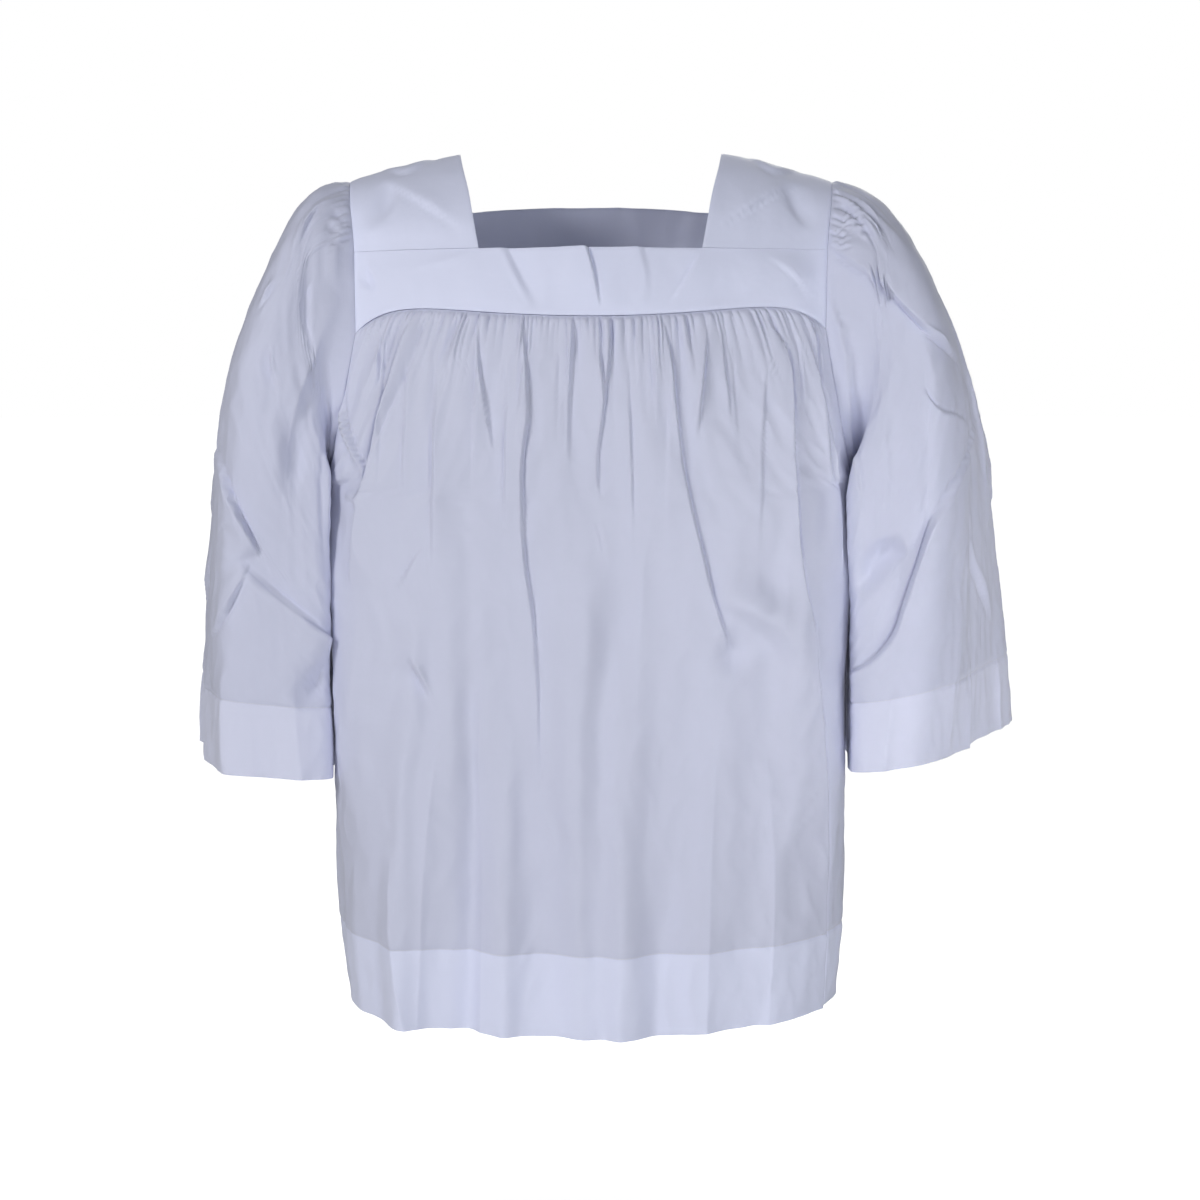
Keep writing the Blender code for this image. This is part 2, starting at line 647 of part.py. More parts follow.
def solid(name, rows, closed=False):
    """The piece as a closed mesh: an outer face, an inner face and the rims between."""
    starts = np.concatenate([[0], np.cumsum([len(row.u) for row in rows])])
    outer = np.concatenate([row.outer for row in rows])
    inner = outer - np.concatenate([row.wall for row in rows])
    count = len(outer)
    faces = []
    for k in range(len(rows) - 1):
        faces += strip(rows[k], rows[k + 1], int(starts[k]), int(starts[k + 1]), closed)
    edges = {edge for a, b, c in faces for edge in ((a, b), (b, c), (c, a))}
    rims = [(a, b) for a, b in edges if (b, a) not in edges]
    walls = [(b, a, a + count) for a, b in sorted(rims)]
    walls += [(b, a + count, b + count) for a, b in sorted(rims)]
    lining = [(c + count, b + count, a + count) for a, b, c in faces]
    mesh = bpy.data.meshes.new(name)
    points = np.concatenate([outer, inner]) * MM
    mesh.from_pydata(points.tolist(), [], faces + walls + lining)
    turn_outwards(mesh)
    piece = bpy.data.objects.new(name, mesh)
    bpy.context.scene.collection.objects.link(piece)
    mesh.materials.append(cloth_material(name))
    return piece


def turn_outwards(mesh):
    """Make every face of a closed mesh look out of the solid."""
    shape = bmesh.new()
    shape.from_mesh(mesh)
    bmesh.ops.recalc_face_normals(shape, faces=shape.faces[:])
    if shape.calc_volume(signed=True) < 0:
        bmesh.ops.reverse_faces(shape, faces=shape.faces[:])
    shape.to_mesh(mesh)
    shape.free()


def cloth_material(name):
    """A cool white poly-cotton, a little different on each piece."""
    material = bpy.data.materials.new(f"{name}_cloth")
    material.use_nodes = True
    finish = material.node_tree.nodes["Principled BSDF"]
    finish.inputs["Base Color"].default_value = (*SHADES[name], 1.0)
    finish.inputs["Roughness"].default_value = 0.75
    material.diffuse_color = (*SHADES[name], 1.0)
    return material


# ---------------------------------------------------------------- the garment


def share_seam(first, second):
    """Give two rows that a seam joins the same directions through their walls."""
    both = unit(first.wall + second.wall) * CLOTH
    first.wall[:] = both
    second.wall[:] = both


def share_strap_ends(strap, front, back, side):
    """Give the ends of a strap and the bands the same directions through their walls."""
    for strap_row, band_row in ((strap[0], front[-1]), (strap[-1], back[-1])):
        part = slice(-STRAP_COLUMNS, None) if side == RIGHT else slice(STRAP_COLUMNS)
        band_wall = band_row.wall[part] if side == RIGHT else band_row.wall[part][::-1]
        both = unit(strap_row.wall + band_wall) * CLOTH
        strap_row.wall[:] = both
        band_row.wall[part] = both if side == RIGHT else both[::-1]


def body_side(yoke_rows, seam_row, table, gathering, folds, facing):
    """The rows of a yoke band and of the body panel gathered into it."""
    gathers = gather_lines(gathering, -SEAM_SPAN, SEAM_SPAN)
    panel = body_sheet(seam_row, table, gathers, folds, facing)
    panel_rows = body_rows(panel, gathers)
    underarm = len(BODY_ROWS) + UNDERARM
    band = band_sheet(yoke_rows, YOKE_FOLDS if facing < 0 else (), facing)
    seam_first = yoke_rows[0] is seam_row
    neck_row = yoke_rows[-1] if seam_first else yoke_rows[0]
    neck = neck_row.neck_x / neck_row.arm_x
    band_lines = band_rows(band, panel_rows[0].u, neck, seam_first)
    share_seam(band_lines[0], panel_rows[0])
    for row in panel_rows[underarm:]:
        for column, side in ((0, LEFT), (-1, RIGHT)):
            thickness = np.linalg.norm(row.wall[column])
            row.wall[column] = (side * thickness, 0.0, 0.0)
    return band_lines, panel_rows, underarm


def main():
    """Cut, gather and sew the surplice."""
    for item in list(bpy.data.objects):
        bpy.data.objects.remove(item)
    front, front_panel, underarm = body_side(
        YOKE[FRONT_SEAM : FRONT_TOP + 1],
        YOKE[FRONT_SEAM],
        FRONT_BODY,
        FRONT_GATHERS,
        FRONT_FOLDS,
        -1,
    )
    back, back_panel, back_underarm = body_side(
        YOKE[BACK_TOP:], YOKE[BACK_SEAM], BACK_BODY, BACK_GATHERS, BACK_FOLDS, 1
    )
    for side, name, rings, folds in (
        (LEFT, "left", LEFT_SLEEVE, LEFT_SLEEVE_FOLDS),
        (RIGHT, "right", RIGHT_SLEEVE, RIGHT_SLEEVE_FOLDS),
    ):
        strap = strap_rows(strap_sheet(YOKE[FRONT_TOP : BACK_TOP + 1], side))
        share_strap_ends(strap, front, back, side)
        places, half = armhole_places(
            strap, front, back, front_panel, back_panel, side, (underarm, back_underarm)
        )
        sleeve = sleeve_in_armhole(places, half, rings, side, folds)
        solid(f"{name}_strap", strap)
        solid(f"{name}_sleeve", sleeve, closed=True)
    solid("front_panel", front_panel)
    solid("back_panel", back_panel)
    solid("front_yoke", front)
    solid("back_yoke", back)


main()
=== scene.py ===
"""Dresses the square-neck surplice: gathered poly-cotton pieces, their hems and hand of cloth.

The garment hangs as it is worn, hollow, with +Z up and its front facing -Y. "Left" and "right"
are as seen from the front, so the right side is +X. Tables and sizes are in millimetres, and
the meshes in metres. Every piece is a thin shell lofted through the cross curves of its solid,
with gathers and creases as relief along its normals.
"""

import logging
import math
import random
from collections.abc import Callable, Sequence
from dataclasses import dataclass, field
from enum import Enum
from typing import NamedTuple

import bpy
import numpy as np
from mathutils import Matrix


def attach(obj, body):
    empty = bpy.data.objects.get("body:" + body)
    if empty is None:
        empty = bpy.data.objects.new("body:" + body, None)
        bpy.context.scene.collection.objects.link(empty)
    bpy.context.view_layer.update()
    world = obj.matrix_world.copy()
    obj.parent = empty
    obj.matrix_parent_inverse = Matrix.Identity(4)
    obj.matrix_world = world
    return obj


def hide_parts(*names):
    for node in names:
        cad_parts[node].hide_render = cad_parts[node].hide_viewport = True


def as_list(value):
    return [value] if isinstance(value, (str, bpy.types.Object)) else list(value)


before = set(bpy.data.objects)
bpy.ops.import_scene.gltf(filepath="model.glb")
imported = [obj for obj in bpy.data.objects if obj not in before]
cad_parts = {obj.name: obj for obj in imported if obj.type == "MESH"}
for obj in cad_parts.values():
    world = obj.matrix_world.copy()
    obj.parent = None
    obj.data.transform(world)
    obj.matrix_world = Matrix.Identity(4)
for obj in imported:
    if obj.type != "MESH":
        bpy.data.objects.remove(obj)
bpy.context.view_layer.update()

LOG = logging.getLogger("surplice")
MM = 0.001

Points = np.ndarray
Shares = np.ndarray
Curve = Callable[[Shares], Points]


class Side(Enum):
    """A side of the garment, by the sign of X."""

    LEFT = -1
    RIGHT = 1


class Facing(Enum):
    """Where a piece of the body looks, by the sign of Y."""

    FRONT = -1
    BACK = 1


class Layers(Enum):
    """How many layers of cloth lie on each other, as the cloth finish reads it."""

    SINGLE = 0.0
    DOUBLE = 1.0


# The walls of the cloth and the seams between its pieces.
SINGLE_WALL = 0.9
DOUBLE_WALL = 1.7
WALLS = {Layers.SINGLE: SINGLE_WALL, Layers.DOUBLE: DOUBLE_WALL}
SEAM_GAP = 0.3
BODY_HEM = 71.0  # depth of the turned-up hems
SLEEVE_HEM = 66.0
UNDERARM = 4  # the row of the body tables where the side seam starts
TUCK_POWERS = (3, 5)  # how a sleeve's tuck fades towards its back and its outer side
LEAN_POWERS = (10, 3)  # how its lean fades the same way
ROLL = 0.55  # how far the cloth stands up beside a seam
ROLL_WIDTH = 1.5
SUNK = 1.5  # how far the gathered cloth lies behind the edge of the yoke
SUNK_WIDTH = 2.2

# Distances from a seam over which the parts of the relief set in.
CREASE_START = 8.0
BAND_START = 9.0
DRIFT_START = 18.0
DRAPE_START = 25.0
FACING_GAIN = 1.4  # how soon a crease of a view takes full height as the cloth turns to it

# How the gathers of a panel fan out towards its edges.
FAN = 0.0021
FAN_REACH = 45.0

# How far the rows beside a seam are from it, and those at a hem from its stitches.
PANEL_STOPS = (0, 0.7, 1.6, 2.8, 4.2, 6, 8, 10.5, 13.5, 17, 21, 25.5)
FINE_STOPS = (30, 35, 40, 45)
SLEEVE_STOPS = (0.8, 1.8, 3.2, 5, 7, 9.5, 12.5, 16, 20, 24.5, 29.5, 35, 41)
ABOVE_HEM = (6.0, 3.5, 1.8, 0.0)
BELOW_HEM = (1.0, 2.4, 4.0, 7.5)
ABOVE_RIM = 2.0

# How the columns of points crowd along creases and edges.
CROWDING = 3.2  # how many more columns there are along a crease
SETTLING = 16.0  # distance over which the columns move to a crease
EDGE_COLUMNS = (0.5, 1.2, 2.2)  # distances of the columns close to an edge


class YokeCurve(NamedTuple):
    """A cross curve of the yoke, from the centre line (mid) to the armhole (arm)."""

    mid_y: float
    mid_z: float
    arm_x: float
    arm_y: float
    arm_z: float
    neck_x: float
    tilt: float
    droop: float = 0.0  # how far the ends hang below the bow


class BodyCurve(NamedTuple):
    """A half ring of the body between its two edges."""

    mid_y: float
    mid_z: float
    edge_x: float
    edge_y: float
    edge_z: float
    flat: float
    corner: float


class SleeveRing(NamedTuple):
    """A rounded four-sided ring of a sleeve."""

    front_y: float
    back_y: float
    in_x: float
    out_front_x: float
    out_back_x: float
    in_z: float
    out_z: float
    square: float
    tuck: float  # how far the front's inner edge turns back along the body
    lean: float  # how far that edge comes in towards the body


class Crease(NamedTuple):
    """A ridge, or a trough where its heights are negative, along a line.

    line holds points of (across, z, height) from the top down. left and right are its widths
    on the two sides, and a crisp one has a sharper crest.
    """

    line: tuple[tuple[float, float, float], ...]
    left: float
    right: float
    crisp: bool = False


YOKE = (
    YokeCurve(-112, -141, 202, -77, -124, 95, 2, 30),
    YokeCurve(-106, -112, 203, -70, -105, 95, 2, 12),
    YokeCurve(-98, -84, 204, -61, -86, 95, 1),
    YokeCurve(-83, -57, 206, -54, -66, 100, 0),
    YokeCurve(-62, -31, 209, -42, -46, 105, 0),
    YokeCurve(-37, -8, 211, -25, -31, 111, 0),
    YokeCurve(-6, 9, 213, -4, -24, 115, 0),
    YokeCurve(25, 5, 213, 17, -27, 116, 0),
    YokeCurve(52, -12, 212, 35, -39, 114, 0),
    YokeCurve(78, -42, 209, 52, -60, 110, 0),
    YokeCurve(93, -70, 207, 62, -86, 105, 0),
    YokeCurve(105, -99, 205, 71, -113, 100, 0),
)
FRONT_TOP, BACK_TOP = 2, 9  # where the straps leave the front and back bands

FRONT_BODY = (
    BodyCurve(-121, -180, 207, -80, -184, 2.2, 1.3),
    BodyCurve(-126, -218, 213, -80, -216, 2.5, 1.6),
    BodyCurve(-129, -255, 221, -68, -252, 2.9, 2.1),
    BodyCurve(-130, -285, 227, -44, -278, 3.3, 2.7),
    BodyCurve(-131, -310, 232, -9, -293, 3.5, 3.1),
    BodyCurve(-131, -352, 232, -20, -344, 3.6, 3.3),
    BodyCurve(-131, -432, 227.5, -28, -428, 3.7, 3.4),
    BodyCurve(-130, -530, 227.5, -30, -526, 3.6, 3.4),
    BodyCurve(-129, -620, 226, -28, -614, 3.4, 3.2),
    BodyCurve(-129, -692, 225, -25, -682, 3.1, 3.0),
    BodyCurve(-128, -763, 220, -22, -749, 2.9, 2.8),
)
BACK_BODY = (
    BodyCurve(114, -140, 204, 70, -152, 2.2, 1.2),
    BodyCurve(120, -182, 208, 66, -195, 2.5, 1.5),
    BodyCurve(124, -225, 217, 52, -238, 2.8, 2.0),
    BodyCurve(126, -262, 227, 26, -276, 3.0, 2.4),
    BodyCurve(127, -298, 232, -9, -293, 3.0, 2.5),
    BodyCurve(128, -346, 232, -20, -344, 3.0, 2.6),
    BodyCurve(130, -430, 227.5, -28, -428, 3.0, 2.7),
    BodyCurve(132, -528, 227.5, -30, -526, 2.9, 2.7),
    BodyCurve(134, -618, 226, -28, -614, 2.8, 2.7),
    BodyCurve(135, -690, 225, -25, -682, 2.7, 2.6),
    BodyCurve(134, -761, 220, -22, -749, 2.5, 2.4),
)

LEFT_SLEEVE = (
    SleeveRing(-84, 80, 242, 236, 238, -299, -28, 2.5, 30, 52),
    SleeveRing(-91, 90, 247, 256, 260, -306, -46, 2.7, 34, 66),
    SleeveRing(-97, 99, 244, 281, 289, -318, -97, 3.5, 22, 68),
    SleeveRing(-99, 106, 241, 299, 313, -338, -150, 4.2, 14, 54),
    SleeveRing(-99, 112, 238, 312, 334, -364, -207, 4.6, 12, 42),
    SleeveRing(-98, 117, 235, 320, 351, -396, -266, 4.8, 12, 34),
    SleeveRing(-97, 121, 233, 325, 362, -430, -330, 5.0, 12, 30),
    SleeveRing(-96, 124, 232.5, 328, 370, -460, -398, 5.2, 12, 26),
    SleeveRing(-95, 126, 232.5, 329, 376, -481, -470, 5.4, 12, 24),
    SleeveRing(-94, 127, 232.5, 329, 380, -546, -538, 5.4, 12, 25),
)
RIGHT_SLEEVE = (
    SleeveRing(-85, 80, 241, 238, 240, -297, -31, 2.5, 36, 30),
    SleeveRing(-94, 92, 247, 263, 272, -306, -51, 2.7, 40, 48),
    SleeveRing(-102, 104, 244, 288, 306, -318, -96, 3.5, 22, 76),
    SleeveRing(-106, 115, 241, 304, 337, -336, -147, 4.1, 14, 64),
    SleeveRing(-108, 124, 238, 312, 364, -361, -203, 4.3, 12, 53),
    SleeveRing(-109, 131, 235, 314, 384, -392, -262, 4.2, 14, 46),
    SleeveRing(-109, 137, 233, 312, 399, -425, -326, 4.4, 14, 39),
    SleeveRing(-108, 142, 232.5, 307, 411, -455, -394, 4.5, 14, 35),
    SleeveRing(-107, 146, 232.5, 301, 421, -477, -460, 4.6, 14, 32),
    SleeveRing(-106, 149, 232.5, 295, 429, -538, -527, 4.6, 14, 32),
)

# The creases as they hang, each placed in one view of its piece. The places across are X in the
# front and back views, Y in the view of a sleeve's outer side, and a share of 100 on a strap.
YOKE_CREASES = (
    Crease(((-6, -78, 4.6), (0, -98, 4.6), (4, -116, 3.2), (8, -136, 0)), 42, 1.1, True),
    Crease(((-72, -80, -1.7), (-58, -108, -2.7), (-42, -136, 0)), 3, 16, True),
    Crease(((97, -82, 2.2), (81, -111, 2.2), (66, -134, 0)), 1.2, 16, True),
    Crease(((-92, -84, 0), (-120, -96, 1.6), (-158, -104, 0)), 9, 1.2, True),
    Crease(((150, -90, 0), (172, -106, 1.9), (192, -128, 0)), 1.2, 10, True),
    Crease(((-197, -84, -0.8), (-190, -104, 1.9), (-180, -128, 0)), 1.2, 8, True),
    Crease(((-204, -108, -2.8), (-192, -112, -3), (-182, -118, 0)), 4, 6),
    Crease(((40, -84, 1.5), (46, -108, 1.1), (44, -132, 0)), 14, 3, True),
)
STRAP_CREASES = (
    Crease(((4, -12, 0), (40, -46, 2.8), (74, -82, 0)), 14, 1.5, True),
    Crease(((86, -22, 0), (70, -48, -4.3), (64, -76, 0)), 6, 10),
    Crease(((72, -120, 0), (48, -90, 2.4), (18, -128, 0)), 3, 12, True),
)
FRONT_CREASES = (
    Crease(
        (
            (-58, -142, 0), (-56, -170, 3.6), (-53, -219, 4.7), (-57, -251, 5), (-59, -283, 5),
            (-57, -345, 4.6), (-51, -387, 3.6), (-46, -450, 2.2), (-45, -518, 0.8), (-44, -570, 0),
        ),
        24, 1.3, True,
    ),
    Crease(
        ((-93, -142, 0), (-93, -172, -2.8), (-90, -198, -3.4), (-83, -240, -2.8), (-80, -254, 0)),
        1.2, 7, True,
    ),
    Crease(((-13, -142, 0), (-15, -172, -2.8), (-17, -219, -2.8), (-17, -272, 0)), 1.2, 12, True),
    Crease(
        ((16, -142, 0), (15, -172, 3.4), (10, -219, 3.4), (5, -266, 2.8), (8, -300, 0)),
        14, 1.1, True,
    ),
    Crease(
        (
            (60, -143, 0), (67, -180, 4.5), (72, -227, 5), (78, -272, 5), (86, -309, 5),
            (95, -346, 5), (104, -382, 4.5), (115, -415, 3.4), (120, -427, 0),
        ),
        28, 1.2, True,
    ),
    Crease(((114, -406, 0), (121, -426, -8.1), (124, -448, 0)), 12, 12),
    Crease(((104, -372, 0), (131, -383, 12.5), (162, -406, 12.5), (182, -439, 2.4)), 12, 20),
    Crease(((110, -145, 0), (112, -180, 2.2), (116, -210, 2.2), (117, -230, 0)), 10, 1.1, True),
    Crease(
        (
            (144, -140, 0), (166, -172, 5), (172, -220, 6.2), (174, -285, 6.2), (178, -349, 6.2),
            (189, -416, 5.6), (200, -502, 5), (206, -600, 3.8), (206, -700, 3.1),
            (203, -760, 3.1),
        ),
        20, 1.2, True,
    ),
    Crease(
        ((175, -140, 0), (190, -180, 2.8), (203, -234, 4), (213, -284, 4), (218, -356, 2.2)),
        7, 1.5, True,
    ),
    Crease(((192, -146, -0.6), (195, -172, -3.4), (197, -204, 0)), 1.1, 1.2, True),
    Crease(((200, -214, 0), (206, -256, -3.4), (211, -292, 0)), 1.2, 1.5, True),
    Crease(
        (
            (-150, -144, 0), (-159, -164, 4.7), (-169, -198, 7.2), (-177, -224, 8.5),
            (-185, -258, 8.5), (-197, -307, 7.6), (-205, -350, 4.2), (-209, -374, 0),
        ),
        1.5, 26, True,
    ),
    Crease(((-150, -360, 0), (-153, -450, 6.8), (-160, -560, 9.5), (-162, -760, 10.8)), 15, 12),
    Crease(((-104, -400, 0), (-99, -520, -7.4), (-102, -640, -9.5), (-105, -760, -8.1)), 12, 15),
    Crease(((-70, -480, 0), (-73, -590, 7.4), (-75, -760, 9.5)), 15, 12),
    Crease(
        (
            (-202, -148, 0), (-209, -180, 5.5), (-213, -208, 8.8), (-211, -230, 9.9),
            (-199, -258, 7.7), (-190, -284, 0),
        ),
        4, 1.3, True,
    ),
    Crease(((-212, -295, 0), (-204, -299, 7.2), (-196, -301, 6), (-184, -304, 0)), 1.4, 9, True),
    Crease(((-176, -155, 0), (-178, -176, -2.8), (-179, -200, 0)), 1.1, 1.1, True),
    Crease(((-108, -145, 0), (-115, -168, 4.7), (-124, -194, 0)), 3, 12, True),
    Crease(((-130, -226, 0), (-130, -288, 3.1), (-131, -350, 0)), 14, 8, True),
    Crease(((-140, -334, 0), (-155, -358, 3.4), (-168, -378, 0)), 1.5, 16, True),
    Crease(((-158, -430, 0), (-148, -448, -8.2), (-139, -468, 0)), 18, 3, True),
    Crease(((-169, -590, 0), (-169, -631, 4.7), (-167, -681, 7.1), (-154, -760, 8.2)), 18, 8, True),
    Crease(((4, -310, 0), (9, -328, -1.9), (11, -344, 0)), 1.1, 1.5, True),
    Crease(((56, -290, 0), (46, -346, 3.9), (42, -414, 3.9), (38, -500, 0)), 24, 12, True),
    Crease(
        ((0, -346, 0), (-6, -414, 11.5), (-11, -518, 11.5), (-12, -620, 9.5), (-10, -760, 11)),
        18, 14,
    ),
    Crease(((26, -400, 0), (27, -520, 12.5), (29, -640, 13.5), (30, -760, 13.5)), 26, 20),
    Crease(((112, -470, 0), (106, -540, 7.1), (103, -620, 8.2), (100, -760, 8.2)), 28, 14, True),
    Crease(
        ((-128, -480, 0), (-137, -560, 7.1), (-143, -640, 8.2), (-147, -760, 9.3)),
        26, 10, True,
    ),
    Crease(((150, -500, 0), (156, -580, 4.7), (158, -660, 5.8), (154, -760, 5.8)), 10, 22, True),
    Crease(((-92, -430, 0), (-96, -520, 4.7), (-94, -620, 4.7), (-96, -760, 7.1)), 8, 18, True),
)
BACK_CREASES = (
    Crease(
        ((-120, -118, 0), (-124, -190, 5), (-128, -400, 6), (-134, -560, 4.6), (-142, -760, 3.4)),
        24, 2, True,
    ),
    Crease(
        ((-62, -112, 0), (-58, -180, 5), (-60, -320, 6.2), (-58, -450, 4), (-54, -550, 0)),
        2, 26, True,
    ),
    Crease(
        ((8, -108, 0), (6, -175, 5), (2, -400, 6.2), (8, -560, 4.4), (12, -760, 3)),
        26, 2, True,
    ),
    Crease(
        ((72, -112, 0), (68, -180, 5), (66, -380, 6.2), (70, -540, 3.2), (74, -650, 0)),
        2, 24, True,
    ),
    Crease(((128, -118, 0), (132, -190, 5), (136, -340, 5.6), (142, -490, 0)), 24, 2, True),
    Crease(((-186, -180, 0), (-190, -260, 5.4), (-192, -420, 7.1), (-190, -760, 6.3)), 14, 8, True),
    Crease(((186, -180, 0), (190, -260, 5.4), (192, -420, 7.1), (190, -760, 6.3)), 8, 14, True),
    Crease(((-92, -112, 0), (-90, -160, 3.8), (-94, -250, 3.8), (-98, -330, 0)), 1.2, 12, True),
    Crease(((-30, -110, 0), (-28, -165, 3.8), (-24, -280, 3.8), (-28, -390, 0)), 12, 1.2, True),
    Crease(((40, -110, 0), (42, -160, 3.8), (34, -260, 3.8), (36, -350, 0)), 1.2, 14, True),
    Crease(((100, -114, 0), (98, -175, 3.8), (104, -290, 3.8), (100, -380, 0)), 12, 1.2, True),
    Crease(((-158, -126, 0), (-166, -180, 4.4), (-176, -260, 5), (-196, -340, 0)), 1.5, 22, True),
    Crease(((160, -126, 0), (168, -190, 4.4), (180, -270, 5), (200, -350, 0)), 20, 1.5, True),
    Crease(((-96, -420, 0), (-90, -500, -8.5), (-94, -600, 0)), 8, 14),
    Crease(((30, -470, 0), (36, -560, 4.5), (38, -660, 5.4), (34, -760, 5.4)), 18, 8, True),
    Crease(((-22, -520, 0), (-26, -620, 4.5), (-24, -760, 5.4)), 8, 16, True),
    Crease(((100, -500, 0), (104, -620, 10.7), (106, -760, 12.6)), 14, 12),
    Crease(((-4, -360, 0), (22, -388, 4.5), (48, -430, 0)), 16, 7, True),
)
LEFT_SLEEVE_CREASES = (
    Crease(
        ((-217, -112, 0), (-227, -145, 5), (-246, -198, 7.6), (-258, -250, 6.7), (-262, -306, 0)),
        28, 8, True,
    ),
    Crease(
        ((-238, -60, -0.8), (-240, -106, -4.2), (-242, -139, -5), (-239, -180, 0)),
        7, 1.5, True,
    ),
    Crease(((-218, -72, 1.7), (-224, -91, 5), (-219, -122, 0)), 1.1, 9, True),
    Crease(((-250, -80, 0), (-243, -60, -3.4), (-233, -46, -1.7)), 3, 1.2, True),
    Crease(((-274, -166, 0), (-273, -187, -5), (-266, -206, 0)), 14, 1.5, True),
    Crease(((-288, -138, 0), (-277, -120, 3.4), (-268, -106, 0)), 1.5, 3, True),
    Crease(((-218, -50, -1.7), (-223, -68, -4.2), (-224, -86, 0)), 1.2, 1.2, True),
    Crease(
        (
            (-330, -250, 4), (-323, -265, 7), (-314, -287, 8.5), (-304, -308, 9), (-291, -334, 8),
            (-286, -344, 0),
        ),
        26, 1.2, True,
    ),
    Crease(((-331, -334, 0), (-314, -319, 2.5), (-303, -326, 0)), 1.5, 8, True),
    Crease(
        (
            (-303, -352, 2), (-297, -358, 6), (-285, -370, 8), (-269, -383, 8.5),
            (-246, -402, 8.5), (-221, -426, 7), (-210, -436, 3),
        ),
        30, 1.2, True,
    ),
    Crease(
        ((-299, -364, 1.7), (-305, -375, 4.2), (-317, -396, 5.9), (-336, -422, 3.4)),
        22, 1.5, True,
    ),
    Crease(((-258, -476, 0), (-236, -460, -11), (-220, -446, -5.4)), 10, 16),
    Crease(((-300, -110, 0), (-308, -170, 4.2), (-308, -236, 0)), 10, 7, True),
    Crease(((-262, -206, 0), (-256, -250, -9.3), (-260, -300, 0)), 8, 12),
    Crease(((-222, -180, 0), (-222, -240, 3.4), (-226, -300, 4.2), (-222, -372, 0)), 3, 12, True),
    Crease(((-318, -430, 0), (-322, -480, 4.2), (-318, -556, 5)), 16, 8, True),
    Crease(((-258, -440, 0), (-256, -500, 3.4), (-252, -556, 4.2)), 16, 8, True),
)
RIGHT_SLEEVE_CREASES = (
    Crease(((222, -31, -1.7), (240, -42, -3.4), (264, -68, 0)), 1.2, 3, True),
    Crease(((212, -35, -1.7), (229, -43, -4.2), (247, -62, -4.2), (253, -76, 0)), 1.2, 7, True),
    Crease(((207, -44, -2.5), (223, -52, -5.9), (236, -68, -5.9), (244, -84, 0)), 1.5, 3, True),
    Crease(((205, -52, -1.7), (217, -60, -3.4), (225, -67, 0)), 1.1, 1.1, True),
    Crease(((205, -63, -2.5), (215, -71, -4.2), (223, -82, 0)), 1.1, 1.2, True),
    Crease(((204, -74, -2.5), (216, -80, -3.4), (226, -90, 0)), 1.1, 1.1, True),
    Crease(
        (
            (200, -80, 2), (212, -87, 5), (233, -102, 8), (251, -116, 9), (264, -130, 9),
            (282, -149, 8), (299, -161, 6), (318, -176, 5), (335, -192, 2),
        ),
        1.2, 26, True,
    ),
    Crease(((284, -155, 1.7), (296, -161, 5), (309, -168, 0.8)), 1.1, 3, True),
    Crease(((300, -161, -0.8), (312, -172, -5), (326, -188, -5.9), (338, -202, -1.7)), 9, 12, True),
    Crease(
        ((279, -150, -0.8), (283, -182, -4.2), (287, -217, -5), (289, -279, -5), (286, -332, -2.5)),
        24, 16, True,
    ),
    Crease(((326, -204, 0), (335, -226, -3.4), (340, -246, 0)), 1.5, 3, True),
    Crease(
        ((284, -203, 0), (290, -213, 3.5), (301, -222, 4.5), (319, -228, 4.5), (336, -244, 2)),
        9, 1.2, True,
    ),
    Crease(
        (
            (350, -236, 3), (343, -245, 6), (323, -272, 8), (305, -300, 8.5), (292, -321, 8.5),
            (282, -350, 8), (271, -384, 8), (262, -413, 8), (246, -434, 7), (227, -449, 5),
            (214, -458, 2),
        ),
        1.2, 34, True,
    ),
    Crease(
        ((268, -334, 0), (258, -340, -11), (247, -346, -12.8), (236, -362, -11), (226, -378, 0)),
        9, 14,
    ),
    Crease(
        (
            (203, -92, 0.8), (205, -106, 3.4), (207, -130, 5), (217, -158, 5.9), (222, -190, 5.9),
            (224, -235, 5), (230, -292, 1.7),
        ),
        10, 1.5, True,
    ),
    Crease(((246, -190, 0), (252, -250, 3.4), (258, -310, 0)), 12, 8, True),
    Crease(((322, -380, 0), (318, -440, 5), (310, -546, 5.9)), 22, 10, True),
    Crease(((262, -450, 0), (258, -490, 4.2), (254, -546, 5)), 16, 8, True),
)
SLEEVE_BACK_CREASES = (
    Crease(
        ((232, -52, 0), (256, -120, 5.9), (270, -190, 7.6), (282, -270, 6.7), (286, -350, 0)),
        20, 1.5, True,
    ),
    Crease(
        ((222, -74, 0), (236, -130, 5), (246, -210, 6.7), (250, -280, 5), (252, -350, 0)),
        1.5, 20, True,
    ),
    Crease(
        ((362, -270, 1.7), (344, -304, 5.9), (318, -350, 7.6), (290, -400, 6.7), (266, -444, 0)),
        26, 1.5, True,
    ),
    Crease(((300, -90, 0), (322, -150, 4.2), (336, -210, 5), (348, -270, 0)), 3, 16, True),
    Crease(((262, -400, 0), (268, -460, 5), (272, -552, 5.9)), 18, 8, True),
    Crease(((330, -420, 0), (336, -470, 4.2), (340, -552, 5)), 8, 18, True),
    Crease(((268, -60, -0.8), (290, -86, -4.2), (312, -130, 0)), 1.5, 7, True),
    Crease(((240, -52, -1.7), (262, -70, -4.2), (276, -96, 0)), 1.5, 1.5, True),
)
